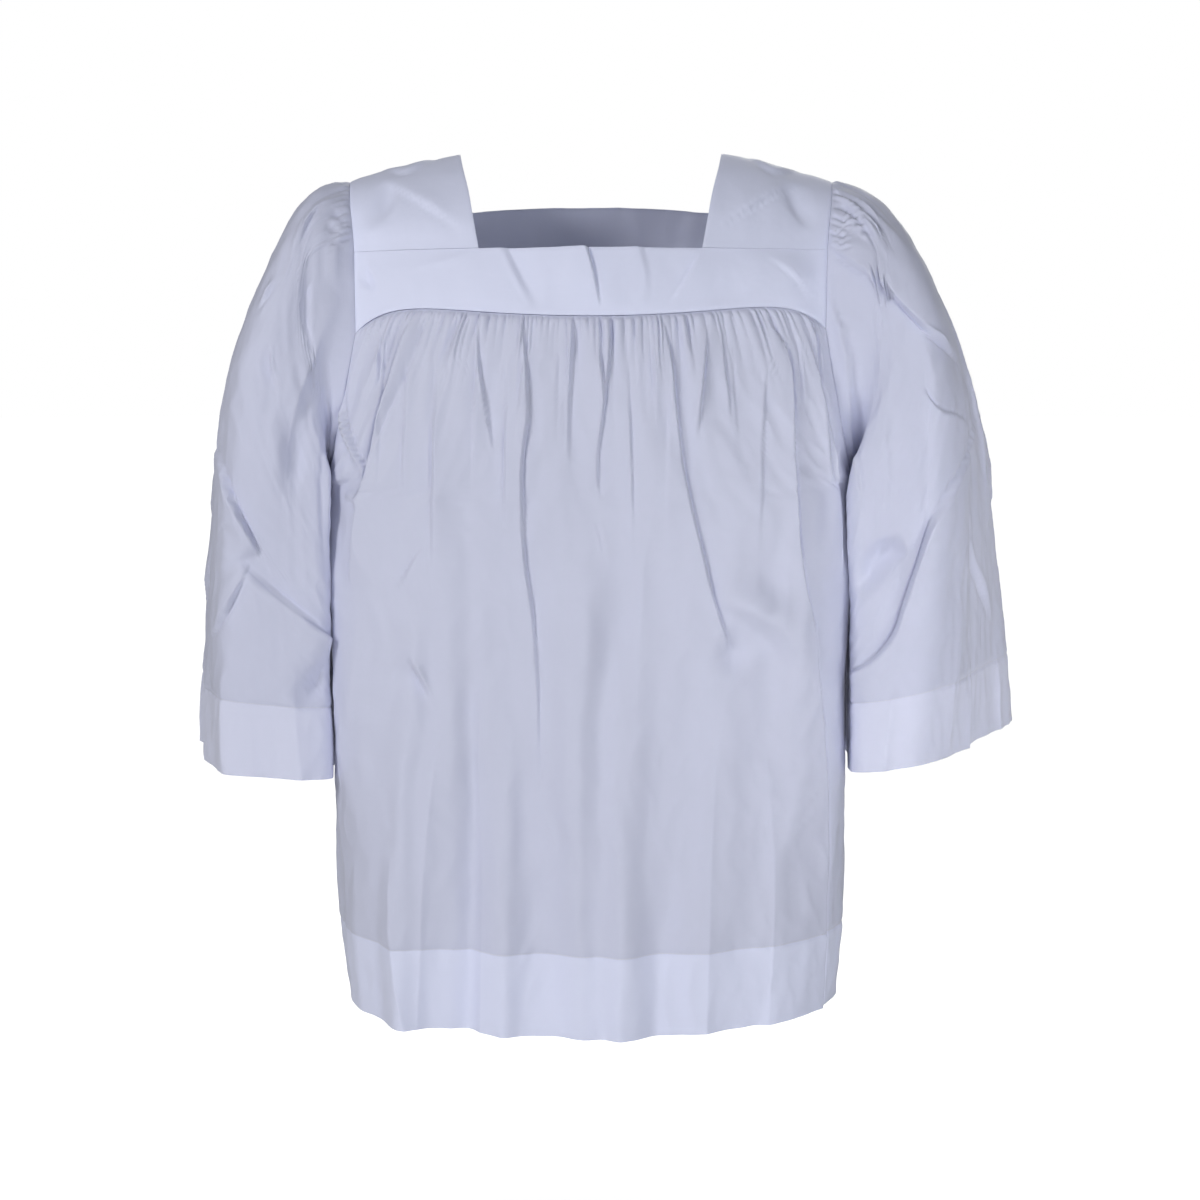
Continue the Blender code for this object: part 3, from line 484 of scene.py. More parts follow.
SLEEVE_SIDE_CREASES = (
    Crease(((-40, -110, 0), (-48, -160, 3.4), (-52, -230, 4), (-50, -300, 0)), 16, 4, True),
    Crease(((24, -100, 0), (34, -160, 3.4), (40, -240, 4.4), (30, -330, 0)), 5, 20, True),
    Crease(((-44, -330, 0), (-20, -358, 3), (14, -386, 3.8), (56, -424, 0)), 4, 24, True),
    Crease(((92, -210, 0), (80, -262, 3.8), (56, -308, 3.4), (26, -340, 0)), 20, 4, True),
    Crease(((-30, -430, 0), (-26, -480, 5), (-30, -556, 5.9)), 18, 9, True),
    Crease(((66, -440, 0), (62, -490, 4.2), (64, -556, 5)), 10, 18, True),
)


# ---------------------------------------------------------------- finishes


class NodeBench:
    """Adds nodes to a material and joins them."""

    def __init__(self, name: str) -> None:
        """Start a material of this name with its shader."""
        self.material = bpy.data.materials.new(name)
        self.material.use_nodes = True
        self.tree = self.material.node_tree
        self.shader = self.tree.nodes["Principled BSDF"]

    def add(self, kind: str, settings: dict | None = None, **values: object) -> bpy.types.Node:
        """Add a node.

        Args:
            kind: The node's type name, without the ShaderNode in front.
            settings: Properties of the node.
            **values: Its inputs, as numbers, colours or sockets. An underscore is a space.

        Returns:
            The node.
        """
        node = self.tree.nodes.new(f"ShaderNode{kind}")
        for key, value in (settings or {}).items():
            setattr(node, key, value)
        for key, value in values.items():
            self.feed(node.inputs[key.replace("_", " ")], value)
        return node

    def feed(self, socket: bpy.types.NodeSocket, value: object) -> None:
        """Join a socket to another socket, or give it a value."""
        if isinstance(value, bpy.types.NodeSocket):
            self.tree.links.new(value, socket)
        else:
            socket.default_value = value

    def math(self, operation: str, first: object, second: object = 0.0) -> bpy.types.NodeSocket:
        """The result of a sum on two values or sockets."""
        node = self.add("Math", {"operation": operation})
        self.feed(node.inputs[0], first)
        self.feed(node.inputs[1], second)
        return node.outputs[0]

    def blend(self, share: object, first: object, second: object) -> bpy.types.NodeSocket:
        """A colour between two colours."""
        node = self.add("Mix", {"data_type": "RGBA"})
        self.feed(node.inputs[0], share)
        self.feed(node.inputs[6], first)
        self.feed(node.inputs[7], second)
        return node.outputs[2]

    def bump(self, height: object, depth: float, under: object = None) -> bpy.types.NodeSocket:
        """A bump of this depth in metres, on top of another."""
        node = self.add("Bump", Strength=1.0, Distance=depth, Height=height)
        if under is not None:
            self.feed(node.inputs["Normal"], under)
        return node.outputs["Normal"]


@dataclass(frozen=True)
class PolyCotton:
    """A fine plain weave of polyester and cotton, cool white, a little brighter when double."""

    name: str
    single: tuple[float, float, float] = (0.65, 0.67, 0.826)
    double: tuple[float, float, float] = (0.77, 0.80, 0.99)
    thread_pitch: float = 0.00045
    weave_depth: float = 0.00002
    slub_depth: float = 0.00005
    crumple_depth: float = 0.0006
    crumple_scale: float = 46.0
    mottle_scale: float = 9.0
    mottle: float = 0.05  # how much the shade changes over the cloth
    darkest: float = 0.955  # the shade where it is darkest
    slub_shade: float = 0.022
    roughness: float = 0.58
    roughness_change: float = 0.12
    sheen: float = 0.25
    sheen_roughness: float = 0.45
    specular: float = 0.35

    def material(self) -> bpy.types.Material:
        """Mix the finish.

        Returns:
            The cloth's material, which reads the piece's UV map and its layers attribute.
        """
        bench = NodeBench(self.name)
        cut = bench.add("UVMap", {"uv_map": "cut"}).outputs["UV"]
        layers = bench.add("Attribute", {"attribute_name": "layers"}).outputs["Fac"]
        place = bench.add("TexCoord").outputs["Object"]

        weave = self.weave(bench, cut)
        slubs = self.slubs(bench, cut)
        mottle = bench.add(
            "TexNoise", Vector=place, Scale=self.mottle_scale, Detail=3.0
        ).outputs["Fac"]
        crumple = bench.add(
            "TexNoise", Vector=place, Scale=self.crumple_scale, Detail=3.0, Roughness=0.45
        ).outputs["Fac"]

        base = bench.blend(layers, (*self.single, 1.0), (*self.double, 1.0))
        change = bench.math("ADD", bench.math("MULTIPLY", mottle, self.mottle), self.darkest)
        change = bench.math("ADD", change, bench.math("MULTIPLY", slubs, self.slub_shade))
        tint = bench.add("CombineColor")
        for channel in ("Red", "Green", "Blue"):
            bench.feed(tint.inputs[channel], change)
        coloured = bench.add("Mix", {"data_type": "RGBA", "blend_type": "MULTIPLY"})
        coloured.inputs[0].default_value = 1.0
        bench.feed(coloured.inputs[6], base)
        bench.feed(coloured.inputs[7], tint.outputs[0])
        bench.feed(bench.shader.inputs["Base Color"], coloured.outputs[2])

        smoothest = self.roughness - self.roughness_change / 2
        rough = bench.math("MULTIPLY", mottle, self.roughness_change)
        rough = bench.math("ADD", rough, smoothest)
        bench.feed(bench.shader.inputs["Roughness"], rough)
        normal = bench.bump(crumple, self.crumple_depth)
        normal = bench.bump(slubs, self.slub_depth, normal)
        normal = bench.bump(weave, self.weave_depth, normal)
        bench.feed(bench.shader.inputs["Normal"], normal)
        bench.shader.inputs["Sheen Weight"].default_value = self.sheen
        bench.shader.inputs["Sheen Roughness"].default_value = self.sheen_roughness
        bench.shader.inputs["Specular IOR Level"].default_value = self.specular
        return bench.material

    def weave(self, bench: NodeBench, cut: bpy.types.NodeSocket) -> bpy.types.NodeSocket:
        """Threads that go over and under each other.

        Args:
            bench: The material being mixed.
            cut: The place on the flat cloth, in metres.

        Returns:
            The height of the threads.
        """
        scale = math.pi / 10.0 / (2.0 * self.thread_pitch)
        ways = [
            bench.add("TexWave", {"bands_direction": way}, Vector=cut, Scale=scale).outputs["Fac"]
            for way in ("X", "Y")
        ]
        over = bench.add("TexChecker", Vector=cut, Scale=1.0 / self.thread_pitch).outputs["Fac"]
        node = bench.add("Mix", {"data_type": "FLOAT"})
        bench.feed(node.inputs[0], over)
        bench.feed(node.inputs[2], ways[0])
        bench.feed(node.inputs[3], ways[1])
        return node.outputs[0]

    def slubs(self, bench: NodeBench, cut: bpy.types.NodeSocket) -> bpy.types.NodeSocket:
        """Thicker threads here and there, along both ways of the weave.

        Args:
            bench: The material being mixed.
            cut: The place on the flat cloth, in metres.

        Returns:
            How thick the threads are.
        """
        found = []
        for stretch in ((900.0, 26.0, 1.0), (26.0, 900.0, 1.0)):
            spread = bench.add("Mapping", Vector=cut, Scale=stretch).outputs[0]
            noise = bench.add("TexNoise", Vector=spread, Scale=1.0, Detail=1.0).outputs["Fac"]
            found.append(noise)
        return bench.math("MULTIPLY", bench.math("ADD", *found), 0.5)


@dataclass(frozen=True)
class SewingThread:
    """Spun white sewing thread."""

    name: str = "sewing_thread"
    colour: tuple[float, float, float] = (0.80, 0.81, 0.90)
    # Painted shade: the share of its brightness that the thread keeps in the hollows of its twist.
    painted_shade: float = 0.9  # how bright the thread is in the hollows of its twist
    twist_scale: float = 2400.0
    twist_depth: float = 0.00004
    roughness: float = 0.5
    sheen: float = 0.2

    def material(self) -> bpy.types.Material:
        """Mix the finish.

        Returns:
            The thread's material, with its twist, and painted shade in the hollows of the twist.
        """
        bench = NodeBench(self.name)
        place = bench.add("TexCoord").outputs["Object"]
        twist = bench.add("TexNoise", Vector=place, Scale=self.twist_scale, Detail=1.0)
        twist = twist.outputs["Fac"]
        # The colour is darkened where the twist is low, as painted shade in the hollows of the
        # twist.
        hollow_painted_shade = tuple(self.painted_shade * c for c in self.colour)
        shade = bench.blend(twist, (*hollow_painted_shade, 1.0), (*self.colour, 1.0))
        bench.feed(bench.shader.inputs["Base Color"], shade)
        bench.feed(bench.shader.inputs["Normal"], bench.bump(twist, self.twist_depth))
        bench.shader.inputs["Roughness"].default_value = self.roughness
        bench.shader.inputs["Sheen Weight"].default_value = self.sheen
        return bench.material


@dataclass(frozen=True)
class StudioPaper:
    """Pale paper under the studio's lights, bright where it runs off into the distance."""

    name: str = "studio_paper"
    shade: float = 0.86
    glow: float = 1.0
    near: float = 0.5  # radius at which it starts to brighten, in metres
    far: float = 1.7
    roughness: float = 0.9

    def material(self) -> bpy.types.Material:
        """Mix the finish.

        Returns:
            The paper's material. Its glow is seen and lights nothing.
        """
        bench = NodeBench(self.name)
        place = bench.add("TexCoord").outputs["Object"]
        flat = bench.add("Mapping", Vector=place, Scale=(1.0, 1.0, 0.0)).outputs[0]
        radius = bench.add("VectorMath", {"operation": "LENGTH"})
        bench.feed(radius.inputs[0], flat)
        ramp = bench.add("MapRange", {"interpolation_type": "SMOOTHSTEP"})
        bench.feed(ramp.inputs["Value"], radius.outputs["Value"])
        bench.feed(ramp.inputs["From Min"], self.near)
        bench.feed(ramp.inputs["From Max"], self.far)
        bench.feed(ramp.inputs["To Max"], self.glow)
        seen = bench.add("LightPath").outputs["Is Camera Ray"]
        glow = bench.math("MULTIPLY", ramp.outputs[0], seen)
        bench.shader.inputs["Base Color"].default_value = (self.shade, self.shade, self.shade, 1.0)
        bench.shader.inputs["Roughness"].default_value = self.roughness
        bench.shader.inputs["Emission Color"].default_value = (1.0, 1.0, 1.0, 1.0)
        bench.feed(bench.shader.inputs["Emission Strength"], glow)
        return bench.material


# ---------------------------------------------------------------- curves


def lengths_along(points: Points) -> np.ndarray:
    """Distance of each point from the first one along the line of points."""
    steps = np.linalg.norm(np.diff(points, axis=0), axis=1)
    return np.concatenate([[0.0], np.cumsum(steps)])


def resample_vectors(line: Points, vectors: Points, shares: Shares) -> Points:
    """Vectors that go with a line of points, at these shares of its length."""
    along = lengths_along(line)
    at = np.clip(shares, 0.0, 1.0) * along[-1]
    return np.stack([np.interp(at, along, vectors[:, k]) for k in range(3)], axis=1)


def resample(points: Points, shares: Shares) -> Points:
    """Points at these shares of the length of a line of points."""
    return resample_vectors(points, points, shares)


def unit(vectors: Points) -> Points:
    """The vectors at length one."""
    length = np.linalg.norm(vectors, axis=-1, keepdims=True)
    return vectors / np.maximum(length, 1e-9)


def rise(value: np.ndarray | float, width: float) -> np.ndarray | float:
    """A soft step from 0 at value 0 to 1 beyond the width."""
    return 1.0 - np.exp(-((np.asarray(value) / width) ** 2))


def put_in_scene(name: str, data: bpy.types.ID) -> bpy.types.Object:
    """Put a mesh, light or camera into the scene."""
    item = bpy.data.objects.new(name, data)
    bpy.context.scene.collection.objects.link(item)
    return item


def smooth_mesh(name: str, points: Points, faces: list) -> bpy.types.Mesh:
    """Make a mesh with smooth faces.

    Args:
        name: Its name.
        points: Its points in millimetres.
        faces: Corners of its faces.

    Returns:
        The mesh, in metres.
    """
    mesh = bpy.data.meshes.new(name)
    mesh.from_pydata((points * MM).tolist(), [], faces)
    mesh.polygons.foreach_set("use_smooth", np.ones(len(faces), dtype=bool))
    return mesh


class Noise:
    """Smooth noise over a plane, between about -1 and 1, the same on every run."""

    SIZE = 64

    def __init__(self, seed: int) -> None:
        """Lay out the noise's slopes."""
        angle = np.random.RandomState(seed).uniform(0.0, 2 * math.pi, (self.SIZE, self.SIZE))
        self.slopes = np.stack([np.cos(angle), np.sin(angle)], axis=-1)

    def at(self, x: np.ndarray, y: np.ndarray | float) -> np.ndarray:
        """Noise at these places.

        Args:
            x: Places across, in lattice steps.
            y: Places down, in lattice steps.

        Returns:
            One value for each place.
        """
        x, y = np.broadcast_arrays(np.asarray(x, float), np.asarray(y, float))
        i, j = np.floor(x).astype(int), np.floor(y).astype(int)
        fx, fy = x - i, y - j
        ease_x, ease_y = (f * f * f * (f * (f * 6 - 15) + 10) for f in (fx, fy))

        def corner(di: int, dj: int) -> np.ndarray:
            """The slope of one lattice corner, carried to the places."""
            slope = self.slopes[(i + di) % self.SIZE, (j + dj) % self.SIZE]
            return slope[..., 0] * (fx - di) + slope[..., 1] * (fy - dj)

        top = corner(0, 0) + ease_x * (corner(1, 0) - corner(0, 0))
        low = corner(0, 1) + ease_x * (corner(1, 1) - corner(0, 1))
        return 1.5 * (top + ease_y * (low - top))


class Row(NamedTuple):
    """A row of points across a piece, with the vectors through its wall."""

    at: float
    u: Shares
    outer: Points
    wall: Points
    layers: np.ndarray


@dataclass
class Loft:
    """A sheet lofted through cross curves, with relief along its normals."""

    curves: list[Curve]
    outward: tuple[float, float, float]
    reach: tuple[float, float] = (-1.0, 1.0)
    probe: float = 0.0
    relief: Callable[..., np.ndarray] | None = None
    stations: np.ndarray = field(init=False)
    turn: float = field(init=False, default=1.0)

    SLOPE_STEP = 1.5

    def __post_init__(self) -> None:
        """Measure the stations, and find which way the sheet faces."""
        shares = np.array([self.reach[0], self.probe, self.reach[1]])
        marks = np.array([curve(shares) for curve in self.curves])
        steps = np.linalg.norm(np.diff(marks, axis=0), axis=2).mean(axis=1)
        self.stations = np.concatenate([[0.0], np.cumsum(steps)])
        middle = self.normal(self.length / 2, np.array([self.probe]))[0]
        self.turn = 1.0 if middle @ np.array(self.outward, float) > 0 else -1.0

    @property
    def length(self) -> float:
        """The sheet's length from its first curve to its last."""
        return float(self.stations[-1])

    def base(self, at: float, u: Shares) -> Points:
        """The bare sheet: a smooth curve through the cross curves.

        Args:
            at: Distance down the sheet.
            u: Shares across it.

        Returns:
            One point for each share.
        """
        stations, last = self.stations, len(self.stations) - 1
        k = int(np.clip(np.searchsorted(stations, at, side="right") - 1, 0, last - 1))
        rows = {i: self.curves[i](u) for i in range(max(k - 1, 0), min(k + 2, last) + 1)}

        def slope(i: int) -> Points:
            """The change along the sheet at one of its curves."""
            low, high = max(i - 1, 0), min(i + 1, last)
            return (rows[high] - rows[low]) / (stations[high] - stations[low])

        span = stations[k + 1] - stations[k]
        t = (at - stations[k]) / span
        return (
            (2 * t**3 - 3 * t**2 + 1) * rows[k]
            + (t**3 - 2 * t**2 + t) * span * slope(k)
            + (3 * t**2 - 2 * t**3) * rows[k + 1]
            + (t**3 - t**2) * span * slope(k + 1)
        )

    def normal(self, at: float, u: Shares) -> Points:
        """Outward normals of the bare sheet.

        Args:
            at: Distance down the sheet.
            u: Shares across it.

        Returns:
            One unit vector for each share.
        """
        low, high = self.reach
        step = self.SLOPE_STEP / 200
        left = self.base(at, np.maximum(u - step, low))
        right = self.base(at, np.minimum(u + step, high))
        above = self.base(max(at - self.SLOPE_STEP, 0.0), u)
        below = self.base(min(at + self.SLOPE_STEP, self.length), u)
        return unit(np.cross(right - left, below - above)) * self.turn

    def row(self, at: float, u: Shares, wall: float, layers: float) -> Row:
        """A row of the sheet.

        Args:
            at: Distance down the sheet.
            u: Shares across it.
            wall: Thickness of the cloth.
            layers: What the cloth finish reads there.

        Returns:
            The row, with its relief.
        """
        bare, out = self.base(at, u), self.normal(at, u)
        height = self.relief(at, u, bare, out)
        return Row(at, u, bare + out * height[:, None], out * wall, np.full(len(u), layers))


# ---------------------------------------------------------------- relief


@dataclass(frozen=True)
class Gathers:
    """The gathers that a seam holds, each with its own width, height and reach."""

    count: int
    height: float
    reach_low: float
    reach_high: float
    seed: int
    low: float
    high: float
    opens: float = 2.6  # distance from the seam in which a gather opens
    cusp: float = 0.85  # power of the profile at the seam, lower with a sharper valley
    sunk: float = 0.4  # share of a gather that lies inside the bare sheet
    uneven: float = 1.7  # how much wider or narrower than the rest a gather gets

    WIDTHS = (-1.0, 1.3)  # lowest and highest power of its unevenness
    HEIGHTS = (0.3, 1.0)
    FEW_LONG = 4  # the higher, the fewer gathers reach far
    EASING = 60.0  # distance in which the valleys get rounder

    def lines(self) -> tuple[np.ndarray, np.ndarray, np.ndarray]:
        """Edges of the gathers as shares of the seam, their heights, and their reaches."""
        draw = random.Random(self.seed)
        powers = [draw.uniform(*self.WIDTHS) for _ in range(self.count)]
        widths = np.array([self.uneven**power for power in powers])
        ends = np.concatenate([[0.0], np.cumsum(widths)])
        edges = self.low + (self.high - self.low) * ends / widths.sum()
        heights = np.array([draw.uniform(*self.HEIGHTS) for _ in widths]) * self.height
        heights *= np.sqrt(widths / widths.mean())
        longer = self.reach_high - self.reach_low
        shares = np.array([draw.random() ** self.FEW_LONG for _ in widths])
        reaches = self.reach_low + longer * shares
        return edges, heights, reaches

    def relief(self, at: float, u: Shares) -> np.ndarray:
        """Height of the gathers.

        Args:
            at: Distance from the seam.
            u: Shares along the seam.

        Returns:
            One height for each share.
        """
        edges, heights, reaches = self.lines()
        k = np.clip(np.searchsorted(edges, u, side="right") - 1, 0, len(heights) - 1)
        share = np.clip((u - edges[k]) / (edges[k + 1] - edges[k]), 0.0, 1.0)
        power = min(self.cusp + at / self.EASING, 2.0)
        fade = np.exp(-((at / reaches[k]) ** 2))
        arch = np.sin(math.pi * share) ** power - self.sunk
        return heights[k] * arch * rise(at, self.opens) * fade


@dataclass(frozen=True)
class CreaseBook:
    """Creases that are added up on a piece."""

    creases: tuple[Crease, ...]

    STEPS = 5  # pieces of line between two points of a crease
    REACH = 3.2  # how many of its widths a crease reaches
    CRISP = 1.25  # power of the profile of a crisp crease
    STEEP = 5.0  # a crisp side narrower than this has a furrow at its foot
    FURROW = 0.4  # depth of the furrow, as a share of the height
    FURROW_AT = 1.9  # its distance and width, in widths of the side
    FURROW_WIDTH = 0.8
    CLOSE = 3.2  # how near a crease the columns crowd
    CLOSE_REACH = 12.0
    FULL_HEIGHT = 3.0  # height from which a crease draws all the columns that it can

    @staticmethod
    def smooth_line(line: Sequence[tuple[float, float, float]]) -> np.ndarray:
        """Points of a smooth curve through the points of a crease.

        Args:
            line: Points of (across, z, height).

        Returns:
            Rows of across, z and height.
        """
        marks = np.array(line, float)
        padded = np.concatenate([[2 * marks[0] - marks[1]], marks, [2 * marks[-1] - marks[-2]]])
        t = np.linspace(0.0, 1.0, CreaseBook.STEPS, endpoint=False)[:, None]
        parts = []
        for k in range(1, len(padded) - 2):
            a, b, c, d = padded[k - 1 : k + 3]
            parts.append(
                0.5
                * (
                    2 * b
                    + (c - a) * t
                    + (2 * a - 5 * b + 4 * c - d) * t**2
                    + (3 * b - a - 3 * c + d) * t**3
                )
            )
        return np.concatenate([*parts, marks[-1:]])

    def relief(self, across: np.ndarray, z: np.ndarray) -> np.ndarray:
        """Height of the creases.

        Args:
            across: Places across the view.
            z: Heights of the places.

        Returns:
            One height for each place.
        """
        total = np.zeros(len(across))
        for crease in self.creases:
            line = self.smooth_line(crease.line)
            near = self.about(line, self.REACH * max(crease.left, crease.right), across, z)
            if near.any():
                total[near] += self.one(crease, line, across[near], z[near])
        return total

    @staticmethod
    def about(line: np.ndarray, reach: float, across: np.ndarray, z: np.ndarray) -> np.ndarray:
        """Which places lie in the box round a line, wider by the reach on all sides."""
        low, high = line[:, :2].min(axis=0) - reach, line[:, :2].max(axis=0) + reach
        return (across > low[0]) & (across < high[0]) & (z > low[1]) & (z < high[1])

    def one(
        self, crease: Crease, line: np.ndarray, across: np.ndarray, z: np.ndarray
    ) -> np.ndarray:
        """Height of one crease at places near it.

        Args:
            crease: The crease.
            line: Its smooth line.
            across: Places across the view.
            z: Heights of the places.

        Returns:
            One height for each place.
        """
        away, height = self.beside(line, across, z)
        width = np.where(away > 0, crease.right, crease.left)
        away = np.abs(away) / width
        if not crease.crisp:
            return height * np.exp(-(away**2))
        depth = np.where(width < self.STEEP, self.FURROW, 0.0)
        furrow = np.exp(-(((away - self.FURROW_AT) / self.FURROW_WIDTH) ** 2))
        return height * (np.exp(-(away**self.CRISP)) - depth * furrow)

    @staticmethod
    def beside(
        line: np.ndarray, across: np.ndarray, z: np.ndarray
    ) -> tuple[np.ndarray, np.ndarray]:
        """Where places lie beside the smooth line of a crease.

        Args:
            line: The smooth line.
            across: Places across the view.
            z: Heights of the places.

        Returns:
            Distances from the line, above 0 on its right side, and the heights of the crease.
        """
        start, way = line[:-1], np.diff(line, axis=0)
        gap = np.stack([across, z], axis=1)[:, None, :] - start[None, :, :2]
        share = np.einsum("nkc,kc->nk", gap, way[:, :2]) / (way[:, :2] ** 2).sum(axis=1)
        share = np.clip(share, 0.0, 1.0)
        distance = np.linalg.norm(gap - share[..., None] * way[None, :, :2], axis=2)
        near = distance.argmin(axis=1)
        best = (np.arange(len(across)), near)
        side = way[near, 0] * gap[best][:, 1] - way[near, 1] * gap[best][:, 0]
        height = start[near, 2] + share[best] * way[near, 2]
        return np.where(side > 0, distance[best], -distance[best]), height

    def closeness(self, across: np.ndarray, z: np.ndarray) -> np.ndarray:
        """How close places are to the steep sides of crisp creases.

        Args:
            across: Places across the view.
            z: Heights of the places.

        Returns:
            Values from 0, far away, to 1.
        """
        total = np.zeros(len(across))
        for crease in self.creases:
            if not crease.crisp:
                continue
            line = self.smooth_line(crease.line)
            near = self.about(line, self.CLOSE_REACH, across, z)
            if near.any():
                away, height = self.beside(line, across[near], z[near])
                steep = 1.0 if crease.right < crease.left else -1.0
                gap = (steep * away - 0.5 * self.CLOSE) / self.CLOSE
                draw = np.clip(np.abs(height) / self.FULL_HEIGHT, 0.0, 1.0)
                total[near] += np.exp(-(gap**2)) * draw
        return np.minimum(total, 1.0)


def follow(shares: Shares, closeness: np.ndarray) -> Shares:
    """Shares that crowd along the creases.

    Args:
        shares: Even shares across a piece.
        closeness: How close each of them is to a crease.

    Returns:
        As many shares, with the first and the last one given.
    """
    density = 1.0 + CROWDING * closeness
    total = np.concatenate([[0.0], np.cumsum(0.5 * (density[1:] + density[:-1]))])
    return np.interp(np.linspace(0.0, total[-1], len(shares)), total, shares)


def settle(stops: Sequence[float], lines: Sequence[Shares]) -> np.ndarray:
    """Let the shares move slowly from row to row.

    Args:
        stops: Where the rows are.
        lines: The shares of each row.

    Returns:
        One row of shares for each stop.
    """
    at = np.array(stops, float)
    near = np.exp(-(((at[:, None] - at[None, :]) / SETTLING) ** 2)) * np.gradient(at)[None, :]
    return near @ np.array(lines) / near.sum(axis=1, keepdims=True)


def pick(line: Shares, count: int) -> Shares:
    """So many of the shares, evenly spread over their number."""
    return np.interp(np.linspace(0.0, len(line) - 1.0, count), np.arange(len(line)), line)


@dataclass(frozen=True)
class LooseFolds:
    """Small folds that fall from a seam between the main creases."""

    count: int
    low_x: float
    high_x: float
    top_z: float
    seed: int
    height: float = 3.0

    # The lowest and highest value of each draw.
    PLACES = (0.2, 0.8)  # share of a fold's own width
    LENGTHS = (45, 220)
    FANS = (-0.02, 0.10)  # lean, as a share of the distance from the middle
    LEANS = (-9, 9)
    HEIGHTS = (0.3, 1.2)
    STARTS = (4, 40)  # distance from the seam
    NARROW, WIDE = (1.0, 1.6), (8, 18)
    MIDDLE = 0.4  # share of its length at which a fold is highest

    def creases(self) -> tuple[Crease, ...]:
        """Lay out the folds.

        Returns:
            One crease for each fold.
        """
        draw = random.Random(self.seed)
        step = (self.high_x - self.low_x) / self.count
        found = []
        for k in range(self.count):
            x = self.low_x + step * (k + draw.uniform(*self.PLACES))
            length = draw.uniform(*self.LENGTHS)
            lean = x * draw.uniform(*self.FANS) + draw.uniform(*self.LEANS)
            height = self.height * draw.uniform(*self.HEIGHTS)
            start = self.top_z - draw.uniform(*self.STARTS)
            narrow, wide = draw.uniform(*self.NARROW), draw.uniform(*self.WIDE)
            sides = (narrow, wide) if draw.random() < 0.5 else (wide, narrow)
            middle = (x + lean * self.MIDDLE, start - self.MIDDLE * length, height)
            line = ((x, start, 0.0), middle, (x + lean, start - length, 0.0))
            found.append(Crease(line, *sides, True))
        return tuple(found)


@dataclass(frozen=True)
class Drape:
    """The small unevenness of worn cloth: slow waves, wrinkles and faint crumples."""

    seed: int
    wave: float = 4.6
    wrinkle: float = 1.3
    crumple: float = 0.8

    # Lengths of each kind of unevenness, across and down the cloth.
    BEND, BEND_SCALE = 6.0, 90.0
    WAVES = (54.0, 200.0)
    WRINKLES = (21.0, 66.0)
    CRUMPLES = (26.0, 34.0)
    RIDGE = 2.2  # how sharp the faint crumples are

    def relief(self, across: np.ndarray, down: np.ndarray) -> np.ndarray:
        """Height of the unevenness.

        Args:
            across: Places across the cloth.
            down: Places down the cloth.

        Returns:
            One height for each place.
        """
        waves, wrinkles, crumples = (Noise(self.seed + k) for k in range(3))
        bend = self.BEND * wrinkles.at(across / self.BEND_SCALE + 7.0, down / self.BEND_SCALE)
        bent = across + bend
        slow = waves.at(bent / self.WAVES[0], down / self.WAVES[1])
        mid = wrinkles.at(bent / self.WRINKLES[0], down / self.WRINKLES[1])
        fine = crumples.at(bent / self.CRUMPLES[0], (down + bend) / self.CRUMPLES[1])
        fine = 1.0 - self.RIDGE * np.abs(fine)
        return self.wave * slow + self.wrinkle * mid + self.crumple * fine


@dataclass(frozen=True)
class StitchPull:
    """The groove and the puckers that a line of stitches pulls."""

    seed: int
    groove: float = 0.9
    width: float = 2.4
    pucker: float = 0.55
    pitch: float = 11.0
    reach: float = 9.0

    def relief(self, away: np.ndarray | float, along: np.ndarray) -> np.ndarray:
        """Height of the pull.

        Args:
            away: Distance from the stitches.
            along: Places along them.

        Returns:
            One height for each place.
        """
        puckers = Noise(self.seed).at(along / self.pitch, 0.37 + np.asarray(away) / 60.0)
        fade = np.exp(-((np.asarray(away) / self.reach) ** 2))
        groove = np.exp(-((np.asarray(away) / self.width) ** 2))
        return self.pucker * puckers * fade - self.groove * groove


# ---------------------------------------------------------------- shells


